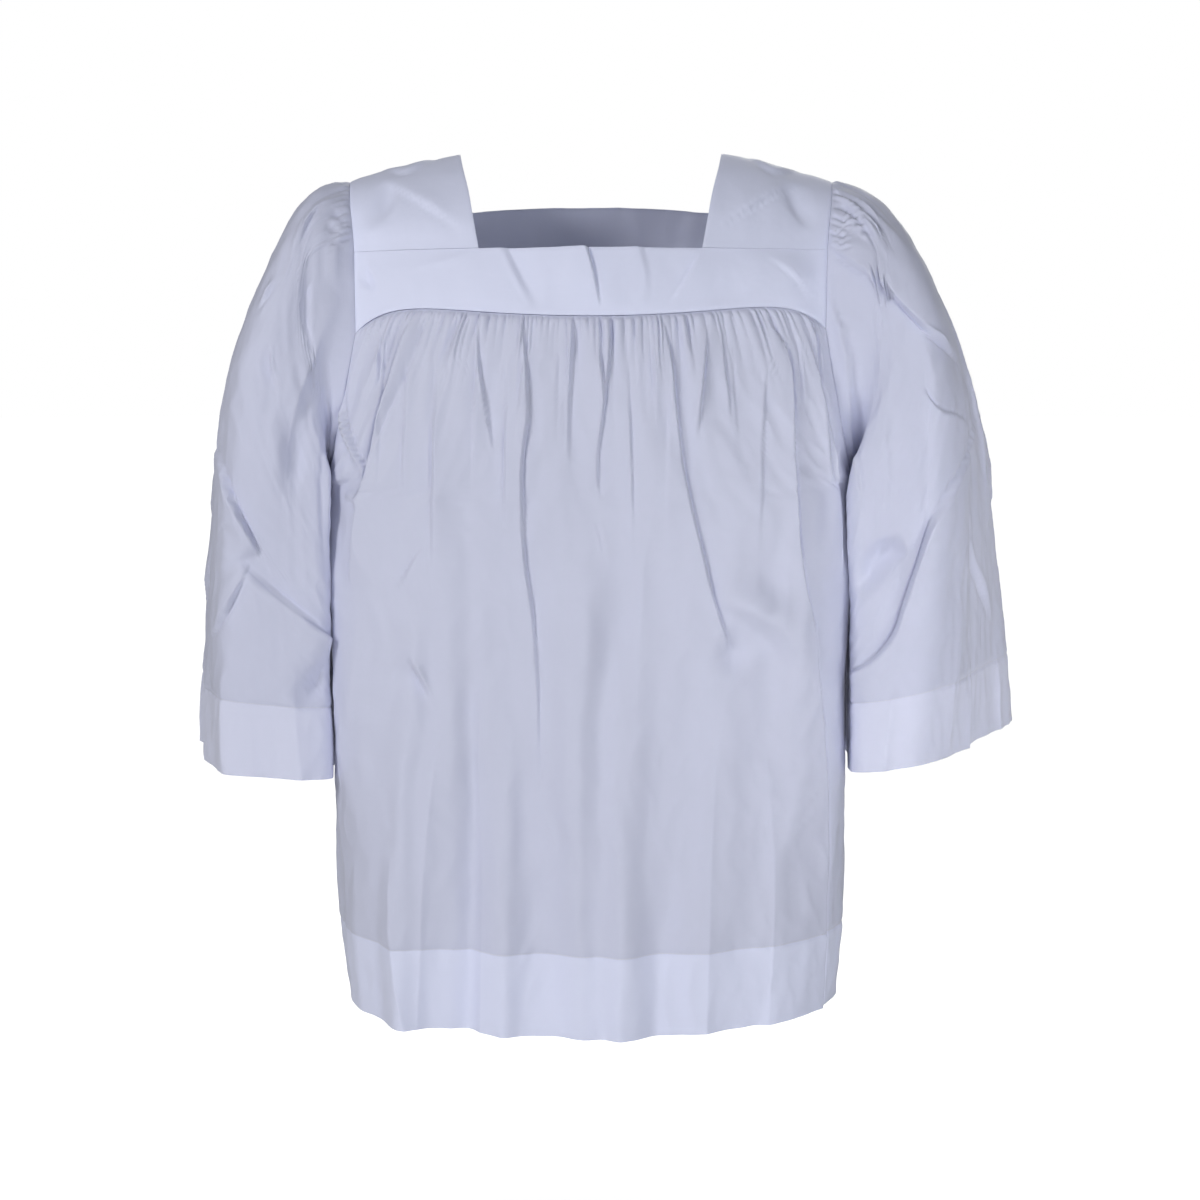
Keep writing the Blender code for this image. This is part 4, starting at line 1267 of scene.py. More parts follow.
@dataclass
class Shell:
    """A thin shell of cloth from rows of points."""

    name: str
    rows: list[Row]
    cut_width: float
    closed: bool = False

    def strip(self, first: int, starts: np.ndarray) -> np.ndarray:
        """Triangles between two rows that may have different columns.

        Args:
            first: The upper row.
            starts: The number of each row's first point.

        Returns:
            Corners of the triangles.
        """
        low, high = self.rows[first].u, self.rows[first + 1].u
        sizes = len(low), len(high)
        if sizes[0] == sizes[1]:
            return self.grid(first, starts)
        if self.closed:
            low, high = np.append(low, low[0] + 1.0), np.append(high, high[0] + 1.0)
        low_start, high_start = int(starts[first]), int(starts[first + 1])
        faces, i, j = [], 0, 0
        while i < len(low) - 1 or j < len(high) - 1:
            at_low = low[i] + low[i + 1] if i < len(low) - 1 else math.inf
            at_high = high[j] + high[j + 1] if j < len(high) - 1 else math.inf
            a, b = low_start + i % sizes[0], high_start + j % sizes[1]
            if at_low <= at_high:
                i += 1
                faces.append((a, low_start + i % sizes[0], b))
            else:
                j += 1
                faces.append((a, high_start + j % sizes[1], b))
        return np.array(faces)

    def grid(self, first: int, starts: np.ndarray) -> np.ndarray:
        """Triangles between two rows with as many columns, over the shorter diagonals.

        Args:
            first: The upper row.
            starts: The number of each row's first point.

        Returns:
            Corners of the triangles.
        """
        upper, lower = self.rows[first].outer, self.rows[first + 1].outer
        i = np.arange(len(upper) if self.closed else len(upper) - 1)
        j = (i + 1) % len(upper)
        falling = np.linalg.norm(upper[i] - lower[j], axis=1)
        falling = falling < np.linalg.norm(upper[j] - lower[i], axis=1)
        above, below = starts[first], starts[first + 1]
        a, b, c, d = i + above, j + above, i + below, j + below
        one = np.where(falling, [a, b, d], [a, b, c])
        two = np.where(falling, [a, d, c], [b, d, c])
        return np.concatenate([one.T, two.T])

    def build(self) -> bpy.types.Object:
        """Make the closed mesh: an outer face, an inner face and the rims between.

        Returns:
            The piece, with its UV map and its layers attribute.
        """
        starts = np.concatenate([[0], np.cumsum([len(row.u) for row in self.rows])])
        outer = np.concatenate([row.outer for row in self.rows])
        inner = outer - np.concatenate([row.wall for row in self.rows])
        count = len(outer)
        sheet = np.concatenate([self.strip(k, starts) for k in range(len(self.rows) - 1)])
        edges = np.concatenate([sheet[:, [0, 1]], sheet[:, [1, 2]], sheet[:, [2, 0]]])
        keys = edges[:, 0] * count + edges[:, 1]
        twins = edges[:, 1] * count + edges[:, 0]
        rims = edges[~np.isin(keys, twins)]
        a, b = rims[:, 0], rims[:, 1]
        walls = np.concatenate(
            [np.stack([b, a, a + count], axis=1), np.stack([b, a + count, b + count], axis=1)]
        )
        faces = np.concatenate([sheet, walls, sheet[:, ::-1] + count])
        points = np.concatenate([outer, inner])
        corners = points[faces]
        if np.einsum("nk,nk->", corners[:, 0], np.cross(corners[:, 1], corners[:, 2])) < 0:
            faces = faces[:, ::-1]
        mesh = smooth_mesh(self.name, points, faces.tolist())
        self.mark_rims(mesh, rims, count)
        self.dress(mesh, faces)
        return put_in_scene(self.name, mesh)

    def mark_rims(self, mesh: bpy.types.Mesh, rims: np.ndarray, count: int) -> None:
        """Keep the edges of the cloth crisp.

        Args:
            mesh: The piece's mesh.
            rims: Pairs of outer points along the rims.
            count: The number of outer points.
        """
        ends = np.empty(2 * len(mesh.edges), dtype=np.int64)
        mesh.edges.foreach_get("vertices", ends)
        ends = np.sort(ends.reshape(-1, 2), axis=1)
        keys = ends[:, 0] * 2 * count + ends[:, 1]
        both = np.sort(np.concatenate([rims, rims + count]), axis=1)
        sharp = np.isin(keys, both[:, 0] * 2 * count + both[:, 1])
        mesh.attributes.new("sharp_edge", "BOOLEAN", "EDGE").data.foreach_set("value", sharp)

    def dress(self, mesh: bpy.types.Mesh, faces: np.ndarray) -> None:
        """Give the mesh its place on the flat cut, and its layers.

        Args:
            mesh: The piece's mesh.
            faces: Corners of its triangles.
        """
        u = np.concatenate([row.u for row in self.rows])
        down = np.concatenate([np.full(len(row.u), row.at) for row in self.rows])
        layers = np.concatenate([row.layers for row in self.rows])
        u, down, layers = (np.concatenate([part, part]) for part in (u, down, layers))
        corner_u = u[faces]
        if self.closed:
            corner_u = corner_u + (corner_u.max(axis=1, keepdims=True) - corner_u > 0.5)
        places = np.stack([corner_u * self.cut_width, down[faces]], axis=-1) * MM
        cut = mesh.uv_layers.new(name="cut")
        cut.data.foreach_set("uv", places.reshape(-1).astype(np.float32))
        spread = mesh.attributes.new("layers", "FLOAT", "POINT")
        spread.data.foreach_set("value", layers.astype(np.float32))


# ---------------------------------------------------------------- the yoke


def yoke_curve(row: YokeCurve, s: Shares) -> Points:
    """Points across the yoke at shares s of its half width."""
    bow = s**2
    return np.stack(
        [
            row.arm_x * s,
            row.mid_y + (row.arm_y - row.mid_y) * bow,
            row.mid_z + (row.arm_z - row.mid_z) * bow + row.tilt * s**3 - row.droop * s**8,
        ],
        axis=1,
    )


def edge_columns(low: float, high: float, count: int, width: float) -> Shares:
    """Even columns, with a few more close to both edges.

    Args:
        low: The first share.
        high: The last share.
        count: How many even columns.
        width: The size of one share in millimetres.

    Returns:
        The shares of the columns.
    """
    near = np.array(EDGE_COLUMNS) / width
    return np.unique(np.concatenate([np.linspace(low, high, count), low + near, high - near]))


@dataclass
class YokeBand:
    """A band of the yoke, double, between a gathering seam and the neck."""

    name: str
    facing: Facing
    curves: tuple[YokeCurve, ...]
    creases: CreaseBook
    drape: Drape
    columns: int = 99  # between the straps
    strap_columns: int = 37
    row_step: float = 4.2
    cut_width: float = 430.0
    drape_share: float = 0.45  # how much of the drape a double band shows
    under_strap: float = 0.06  # over what share the neck's edge turns into the strap's seam

    def __post_init__(self) -> None:
        """Loft the band."""
        curves = [lambda u, row=row: yoke_curve(row, u) for row in self.curves]
        self.loft = Loft(curves, (0, self.facing.value, 0), relief=self.relief)
        self.seam_first = self.facing is Facing.FRONT
        neck_row = self.curves[-1] if self.seam_first else self.curves[0]
        self.neck = neck_row.neck_x / neck_row.arm_x
        self.half = 0.5 * self.cut_width

    def relief(self, at: float, u: Shares, bare: Points, out: Points) -> np.ndarray:
        """Height of the band's relief.

        Args:
            at: Distance from the band's first curve.
            u: Shares across the band.
            bare: Points of the bare sheet.
            out: Not used.

        Returns:
            One height for each share.
        """
        from_seam = at if self.seam_first else self.loft.length - at
        from_edge = (1.0 - np.abs(u)) * self.half
        edges = np.minimum(rise(from_seam, ROLL_WIDTH), rise(from_edge, ROLL_WIDTH))
        from_neck = self.loft.length - from_seam
        inside = np.abs(u) < self.neck
        edges = np.where(inside, np.minimum(edges, rise(from_neck + 0.4, ROLL_WIDTH)), edges)
        soft = rise(from_seam, BAND_START) * rise(from_edge, BAND_START)
        under = np.clip((np.abs(u) - self.neck) / self.under_strap + 1.0, 0.0, 1.0)
        soft = soft * (1.0 - under * (1.0 - rise(from_neck, BAND_START)))
        x, z = bare[:, 0], bare[:, 2]
        folds = self.creases.relief(x, z) + self.drape_share * self.drape.relief(x, z)
        return ROLL * edges + soft * folds

    def rows(self, seam_columns: Shares) -> list[Row]:
        """The rows of the band, from its gathering seam to the neck.

        Args:
            seam_columns: The columns of the panel that is sewn to it.

        Returns:
            The rows.
        """
        arm = edge_columns(self.neck, 1.0, self.strap_columns, self.half)
        even = np.linspace(-self.neck, self.neck, 8 * self.columns)
        length = self.loft.length
        inner = np.linspace(4.0, length - 4.0, round(length / self.row_step))
        stops = [0.0, 0.7, 1.8, *inner, length - 1.8, length - 0.7, length]
        if not self.seam_first:
            stops.reverse()
        bare = [self.loft.base(at, even) for at in stops]
        near = [self.creases.closeness(points[:, 0], points[:, 2]) for points in bare]
        rows = []
        for at, line in zip(stops, settle(stops, [follow(even, close) for close in near])):
            top = np.concatenate([-arm[::-1], pick(line, self.columns)[1:-1], arm])
            u = top if rows else seam_columns
            rows.append(self.loft.row(at, u, SINGLE_WALL, Layers.DOUBLE.value))
        return rows


@dataclass
class Strap:
    """A shoulder strap of the yoke, double, over one shoulder."""

    name: str
    side: Side
    curves: tuple[YokeCurve, ...]
    creases: CreaseBook
    drape: Drape
    columns: int = 37
    row_step: float = 4.0
    cut_width: float = 110.0
    drape_share: float = 0.45
    end_start: float = 12.0  # distance from its ends over which its creases set in

    def __post_init__(self) -> None:
        """Loft the strap."""
        curves = [self.curve(row) for row in self.curves]
        self.loft = Loft(curves, (0, 0, 1), (0.0, 1.0), 0.5, self.relief)

    def curve(self, row: YokeCurve) -> Curve:
        """The strap's part of a cross curve of the yoke."""
        neck, side = row.neck_x / row.arm_x, self.side.value
        return lambda u: yoke_curve(row, side * (neck + (1 - neck) * u))

    def relief(self, at: float, u: Shares, bare: Points, out: Points) -> np.ndarray:
        """Height of the strap's relief.

        Args:
            at: Distance from the strap's first curve.
            u: Shares across the strap.
            bare: Points of the bare sheet.
            out: Not used.

        Returns:
            One height for each share.
        """
        ends = min(at, self.loft.length - at)
        from_arm, from_neck = (1.0 - u) * self.cut_width, u * self.cut_width + 0.4
        edges = np.minimum(rise(from_arm, ROLL_WIDTH), rise(from_neck, ROLL_WIDTH))
        soft = rise(ends, self.end_start) * rise(from_arm, BAND_START)
        folds = self.creases.relief(u * 100.0, np.full(len(u), -at))
        folds = folds + self.drape_share * self.drape.relief(bare[:, 0], bare[:, 1])
        return ROLL * edges + soft * folds

    def rows(self) -> list[Row]:
        """The rows of the strap, a seam gap short of the bands."""
        across = edge_columns(0.0, 1.0, self.columns, self.cut_width)
        length = self.loft.length
        inner = np.linspace(SEAM_GAP, length - SEAM_GAP, round(length / self.row_step))
        return [self.loft.row(at, across, SINGLE_WALL, Layers.DOUBLE.value) for at in inner]


# ---------------------------------------------------------------- the body


@dataclass
class BodyPanel:
    """The front or back of the body, gathered into the yoke and hemmed."""

    name: str
    facing: Facing
    seam: YokeCurve
    curves: tuple[BodyCurve, ...]
    gathers: tuple[Gathers, ...]
    creases: CreaseBook
    drape: Drape
    hem_pull: StitchPull
    seam_columns: int = 640
    fine_columns: int = 480
    columns: int = 328
    row_step: float = 5.4
    cut_width: float = 660.0
    samples: int = 361
    drift: float = 0.011  # how far a gather wanders from its line, as a share of the half width
    drift_scale: tuple[float, float] = (34.0, 55.0)
    fan_from: tuple[float, float] = (0.35, 0.4)  # where the fan starts, and how soon it is full
    side_pucker: float = 0.8
    side_pitch: float = 13.0
    side_reach: float = 14.0
    flat_edge: int = 30  # the higher, the narrower the strip without relief along the edges

    def __post_init__(self) -> None:
        """Loft the panel."""
        gap = np.array([0.0, self.facing.value * SEAM_GAP / 2, 0.0])
        lines = [self.half_ring(row) + gap for row in self.curves]
        curves: list[Curve] = [lambda u: yoke_curve(self.seam, u) - [0.0, 0.0, SEAM_GAP]]
        curves += [lambda u, line=line: resample(line, (u + 1) / 2) for line in lines]
        self.loft = Loft(curves, (0, self.facing.value, 0), relief=self.relief)
        self.half = 0.5 * self.cut_width
        self.wander = Noise(self.drape.seed + 40)

    def half_ring(self, row: BodyCurve) -> Points:
        """The line of a half ring, from the left edge over the middle to the right.

        Args:
            row: The sizes of the half ring.

        Returns:
            Points along it.
        """
        angle = np.linspace(-math.pi / 2, math.pi / 2, self.samples)
        sine, cosine = np.sin(angle), np.clip(np.cos(angle), 0.0, 1.0)
        s = np.sign(sine) * np.abs(sine) ** (2 / row.flat)
        bulge = cosine ** (2 / row.corner)
        return np.stack(
            [
                row.edge_x * s,
                row.edge_y + (row.mid_y - row.edge_y) * bulge,
                row.edge_z + (row.mid_z - row.edge_z) * (1 - s**2),
            ],
            axis=1,
        )

    def relief(self, at: float, u: Shares, bare: Points, out: Points) -> np.ndarray:
        """Height of the panel's relief.

        Args:
            at: Distance from the yoke seam.
            u: Shares across the panel.
            bare: Points of the bare sheet.
            out: Its normals.

        Returns:
            One height for each share.
        """
        x, z = bare[:, 0], bare[:, 2]
        along = u * self.half
        from_edge = (1.0 - np.abs(u)) * self.half
        turned = np.clip(FACING_GAIN * np.abs(out[:, 1]), 0.0, 1.0)
        wander = self.wander.at(along / self.drift_scale[0], at / self.drift_scale[1])
        drift = self.drift * wander * rise(at, DRIFT_START)
        start, width = self.fan_from
        fan = FAN * np.clip((np.abs(u) - start) / width, 0.0, 1.0) * np.sign(u)
        drift = drift - fan * FAN_REACH * (1.0 - math.exp(-at / FAN_REACH))
        total = np.zeros(len(u))
        for gathers in self.gathers:
            total += gathers.relief(at, u + drift)
        total += self.creases.relief(x, z) * turned * rise(at, CREASE_START)
        total += self.drape.relief(along, np.full(len(u), at)) * rise(at, DRAPE_START)
        total += self.hem_pull.relief(at - (self.loft.length - BODY_HEM), along)
        puckers = self.side_pucker * self.wander.at(at / self.side_pitch + 9.0, 0.5)
        total += puckers * np.exp(-((from_edge / self.side_reach) ** 2)) * rise(at, 10.0)
        total -= SUNK * math.exp(-((at / SUNK_WIDTH) ** 2))
        total *= 1.0 - np.abs(u) ** self.flat_edge
        return total + ROLL * np.minimum(rise(at, ROLL_WIDTH), rise(from_edge, ROLL_WIDTH))

    def rows(self) -> list[Row]:
        """The rows of the panel. One of them passes through the underarm.

        Returns:
            The rows, from the yoke seam to the hem.
        """
        length = self.loft.length
        hem = length - BODY_HEM
        underarm = float(self.loft.stations[UNDERARM + 1])
        upper = self.spread(FINE_STOPS[-1], underarm)
        lower = self.spread(underarm, hem - ABOVE_HEM[0])
        plain = [*upper[1:-1], *lower, *(hem - gap for gap in ABOVE_HEM[1:])]
        rest = self.spread(hem + BELOW_HEM[-1], length - ABOVE_RIM)
        double = [*(hem + gap for gap in BELOW_HEM[:-1]), *rest, length]
        plan = [(at, self.seam_columns, Layers.SINGLE) for at in PANEL_STOPS]
        plan += [(at, self.fine_columns, Layers.SINGLE) for at in FINE_STOPS]
        plan += [(at, self.columns, Layers.SINGLE) for at in plain]
        plan += [(at, self.columns, Layers.DOUBLE) for at in double]
        stops = [stop[0] for stop in plan]
        lines = settle(stops, [self.columns_at(at) for at in stops])
        rows = [self.row(*stop, line) for stop, line in zip(plan, lines)]
        near = len(PANEL_STOPS) + len(FINE_STOPS)
        self.underarm = near + len(upper) - 2
        self.stitch_row = rows[near + len(plain) - 1]
        return rows

    def columns_at(self, at: float) -> Shares:
        """Shares that crowd along the creases at a distance from the yoke seam."""
        inner = 1.0 - EDGE_COLUMNS[-1] / self.half
        even = np.linspace(-inner, inner, 4 * self.samples)
        bare = self.loft.base(at, even)
        return follow(even, self.creases.closeness(bare[:, 0], bare[:, 2]))

    def row(self, at: float, count: int, layers: Layers, line: Shares) -> Row:
        """A row whose columns follow the creases.

        Args:
            at: Distance from the yoke seam.
            count: How many columns it has.
            layers: Whether the cloth is single or double there.
            line: Shares that crowd along the creases.

        Returns:
            The row.
        """
        near = np.array(EDGE_COLUMNS) / self.half
        inner = pick(line, count - 2 * len(near))
        u = np.concatenate([[-1.0], near[:-1] - 1.0, inner, 1.0 - near[-2::-1], [1.0]])
        return self.loft.row(at, u, WALLS[layers], layers.value)

    def spread(self, start: float, stop: float) -> np.ndarray:
        """Even stops between two distances, with both of them."""
        return np.linspace(start, stop, round((stop - start) / self.row_step) + 1)


# ---------------------------------------------------------------- the sleeves


@dataclass
class Sleeve:
    """A sleeve from the armhole to its wide open cuff, gathered a little at its head."""

    name: str
    side: Side
    rings: tuple[SleeveRing, ...]
    gathers: tuple[Gathers, ...]
    front: CreaseBook
    back: CreaseBook
    outside: CreaseBook
    drape: Drape
    hem_pull: StitchPull
    head_span: float = 0.14
    slant: float = 0.0011  # how fast the head gathers turn downwards
    head_columns: int = 330
    columns: int = 320
    row_step: float = 4.8
    cut_width: float = 620.0
    corner_at: tuple[float, float] = (0.28, 0.44)
    corner_crowding: float = 0.6
    samples: int = 361
    drift: float = 0.004
    lowered: float = 2.0  # how far the drape lies inside the bare sheet
    around_scale: float = 1.6  # how the drape is drawn out round the sleeve
    down_scale: float = 0.7
    pucker: float = 0.9  # of the armhole seam
    pucker_pitch: float = 12.0
    pucker_reach: float = 16.0

    def ring_line(self, ring: SleeveRing) -> Points:
        """The closed line of a ring: from the outside over the front, inside and back.

        Args:
            ring: The sizes of the ring.

        Returns:
            Points along it.
        """
        angle = np.linspace(0.0, 2 * math.pi, 2 * self.samples - 1)
        power = 2 / ring.square
        sine, cosine = np.sin(angle), np.cos(angle)
        outer = (np.sign(cosine) * np.abs(cosine) ** power + 1) / 2
        front = (np.sign(sine) * np.abs(sine) ** power + 1) / 2
        tucked = ring.tuck * front**TUCK_POWERS[0] * (1.0 - outer) ** TUCK_POWERS[1]
        leaned = ring.lean * front**LEAN_POWERS[0] * (1.0 - outer) ** LEAN_POWERS[1]
        outer_x = ring.out_back_x + (ring.out_front_x - ring.out_back_x) * front
        return np.stack(
            [
                self.side.value * (ring.in_x + (outer_x - ring.in_x) * outer - leaned),
                ring.back_y + (ring.front_y - ring.back_y) * front + tucked,
                ring.in_z + (ring.out_z - ring.in_z) * outer,
            ],
            axis=1,
        )

    @staticmethod
    def closed_curve(line: Points, half: int) -> Curve:
        """A curve round a closed line: u is 0 at its first point and 0.5 at the half one."""
        front, back = line[: half + 1], line[half:]

        def curve(u: Shares) -> Points:
            """Points at these shares of the way round."""
            u = np.mod(u, 1.0)
            first, second = resample(front, u * 2), resample(back, u * 2 - 1)
            return np.where((u < 0.5)[:, None], first, second)

        return curve

    def relief(self, at: float, u: Shares, bare: Points, out: Points) -> np.ndarray:
        """Height of the sleeve's relief.

        Args:
            at: Distance from the armhole.
            u: Shares round the sleeve.
            bare: Points of the bare sheet.
            out: Its normals.

        Returns:
            One height for each share.
        """
        around = np.mod(u + 0.5, 1.0) - 0.5
        circle = np.stack([np.cos(2 * math.pi * u), np.sin(2 * math.pi * u)])
        radius = self.cut_width / (2 * math.pi)
        total = np.zeros(len(u))
        wander = self.wander.at(3.0 * circle[0] + 11.0, 3.0 * circle[1] + at / 60.0)
        drift = self.drift * wander * rise(at, DRIFT_START)
        slanted = around - np.sign(around) * self.slant * at + drift
        head = np.clip(6.0 - 6.0 * np.abs(slanted) / self.head_span, 0.0, 1.0)
        for gathers in self.gathers:
            total += head * gathers.relief(at, slanted)
        for book, across, turned in self.views(bare, out):
            total += book.relief(across, bare[:, 2]) * turned * rise(at, CREASE_START)
        total += (self.uneven(circle * radius, at) - self.lowered) * rise(at, DRAPE_START)
        along = around * self.cut_width
        total += self.hem_pull.relief(at - (self.loft.length - SLEEVE_HEM), along)
        puckers = self.pucker * self.wander.at(along / self.pucker_pitch, 0.5)
        puckers = puckers * math.exp(-((at / self.pucker_reach) ** 2)) * rise(at, 2.5)
        return total + puckers + ROLL * rise(at, ROLL_WIDTH)

    def views(self, bare: Points, out: Points) -> list[tuple[CreaseBook, np.ndarray, np.ndarray]]:
        """The creases of each view, with the places across it and how far they turn to it.

        Args:
            bare: Points of the bare sheet.
            out: Its normals.

        Returns:
            The front, back and outside views.
        """
        views = (
            (self.front, bare[:, 0], -out[:, 1]),
            (self.back, np.abs(bare[:, 0]), out[:, 1]),
            (self.outside, bare[:, 1], self.side.value * out[:, 0]),
        )
        return [(*view[:2], np.clip(FACING_GAIN * view[2], 0.0, 1.0)) for view in views]

    def columns_at(self, at: float, crowded: tuple[float, float]) -> Shares:
        """Shares that crowd along the creases at a distance from the armhole.

        Args:
            at: Distance from the armhole.
            crowded: Two shares between which they stand closer.

        Returns:
            The shares, from 0 to 1.
        """
        even = np.linspace(0.0, 1.0, 4 * self.samples)
        bare, out = self.loft.base(at, even), self.loft.normal(at, even)
        close = np.zeros(len(even))
        for book, across, turned in self.views(bare, out):
            close += book.closeness(across, bare[:, 2]) * turned
        inside = np.mod(even - crowded[0], 1.0) < crowded[1] - crowded[0]
        close = np.maximum(close, self.corner_crowding * inside)
        return follow(even, np.minimum(close, 1.0))

    def uneven(self, circle: Points, at: float) -> np.ndarray:
        """The drape round a closed sleeve, without a jump where it closes.

        Args:
            circle: Places on a circle as long as the sleeve is round.
            at: Distance from the armhole.

        Returns:
            One height for each place.
        """
        around, down = circle * self.around_scale, circle * self.down_scale + at
        one = self.drape.relief(around[0], down[1])
        return 0.7 * (one + self.drape.relief(around[1] + 400.0, down[0]))

    def rows(self, points: Points, half: int, shares: Shares) -> list[Row]:
        """The rows below the seam.

        Args:
            points: The closed line of the armhole.
            half: Its lowest point.
            shares: Not used.

        Returns:
            The rows, from just below the seam to the cuff.
        """
        self.wander = Noise(self.drape.seed + 40)
        lines = [(np.concatenate([points, points[:1]]), half)]
        lines += [(self.ring_line(ring), self.samples - 1) for ring in self.rings]
        curves = [self.closed_curve(*line) for line in lines]
        outward = (self.side.value, 0, 0.5)
        self.loft = Loft(curves, outward, reach=(-9.0, 9.0), relief=self.relief)
        length = self.loft.length
        hem = length - SLEEVE_HEM
        near = SLEEVE_STOPS[-1]
        count = round((hem - near) / self.row_step)
        plain = [*np.linspace(near, hem - ABOVE_HEM[0], count)[1:]]
        plain += [hem - gap for gap in ABOVE_HEM[1:]]
        count = round((SLEEVE_HEM - BELOW_HEM[-1] - ABOVE_RIM) / self.row_step)
        rest = np.linspace(hem + BELOW_HEM[-1], length - ABOVE_RIM, count)
        double = [*(hem + gap for gap in BELOW_HEM[:-1]), *rest, length]
        head = (-self.head_span, self.head_span)
        plan = [(at, self.head_columns, Layers.SINGLE, head) for at in SLEEVE_STOPS]
        plan += [(at, self.columns, Layers.SINGLE, self.corner_at) for at in plain]
        plan += [(at, self.columns, Layers.DOUBLE, self.corner_at) for at in double]
        stops = [stop[0] for stop in plan]
        lines = settle(stops, [self.columns_at(stop[0], stop[3]) for stop in plan])
        rows = []
        for (at, count, layers, _), line in zip(plan, lines):
            u = pick(line, count + 1)[:-1]
            rows.append(self.loft.row(at, u, WALLS[layers], layers.value))
        self.stitch_row = rows[len(SLEEVE_STOPS) + len(plain) - 1]
        return rows


# ---------------------------------------------------------------- the armhole seams


@dataclass
class Armhole:
    """The line where a sleeve is set into the strap, the bands and the panels."""

    side: Side
    strap: list[Row]
    bands: tuple[list[Row], list[Row]]
    panels: tuple[list[Row], list[Row]]
    underarms: tuple[int, int]

    MITRE_LIMIT = 0.72

    def __post_init__(self) -> None:
        """Walk round the armhole, from the shoulder down the front and up the back."""
        last = -1 if self.side is Side.RIGHT else 0
        strap, (front, back), (front_panel, back_panel) = self.strap, self.bands, self.panels
        top = min(range(len(strap)), key=lambda k: abs(strap[k].outer[-1][1]))
        places: list[list[tuple[list[Row], int, int]]]
        places = [[(strap, k, -1)] for k in range(top, -1, -1)]

        def add(rows: list[Row], order: Sequence[int], column: int) -> None:
            """Go on along a piece, whose first row meets the last one of the piece before."""
            places[-1].append((rows, order[0], column))
            places.extend([(rows, k, column)] for k in order[1:])

        add(front, range(len(front) - 1, -1, -1), last)
        add(front_panel, range(0, self.underarms[0] + 1), last)
        self.half = len(places) - 1
        add(back_panel, range(self.underarms[1], -1, -1), last)
        add(back, range(0, len(back)), last)
        add(strap, range(len(strap) - 1, top, -1), -1)
        self.places = places
        points = [[rows[k].outer[c] for rows, k, c in place] for place in places]
        walls = [[unit(rows[k].wall[c]) for rows, k, c in place] for place in places]
        self.points = np.array([np.mean(group, axis=0) for group in points])
        self.walls = unit(np.array([np.mean(group, axis=0) for group in walls]))

    def shares(self) -> Shares:
        """Shares of the way round of its points, with 0.5 at the underarm."""
        front = lengths_along(self.points[: self.half + 1])
        back = lengths_along(np.concatenate([self.points[self.half :], self.points[:1]]))
        back_shares = 0.5 + 0.5 * back[1:-1] / back[-1]
        return np.concatenate([0.5 * front / front[-1], back_shares])

    def set_in(self, sleeve: Sleeve) -> list[Row]:
        """Set a sleeve in, and turn the walls on both sides of the seam to meet.

        Args:
            sleeve: The sleeve.

        Returns:
            The rows of the sleeve, from its seam.
        """
        shares = self.shares()
        rows = sleeve.rows(self.points, self.half, shares)
        normal = sleeve.loft.normal(0.0, shares)
        middle = unit(self.walls + normal)
        cosine = np.einsum("nk,nk->n", middle, normal)
        across = middle / np.clip(cosine, self.MITRE_LIMIT, 1.0)[:, None]
        for place, direction in zip(self.places, across):
            for piece, k, column in place:
                piece[k].wall[column] = direction * SINGLE_WALL
        tangent = np.roll(self.points, -1, axis=0) - np.roll(self.points, 1, axis=0)
        away = unit(np.cross(tangent, across))
        away *= np.sign(away[:, :1]) * self.side.value
        start = self.points + away * SEAM_GAP
        seam = Row(0.0, shares, start, across * SINGLE_WALL, np.zeros(len(shares)))
        return [seam, *rows]


# ---------------------------------------------------------------- sewing


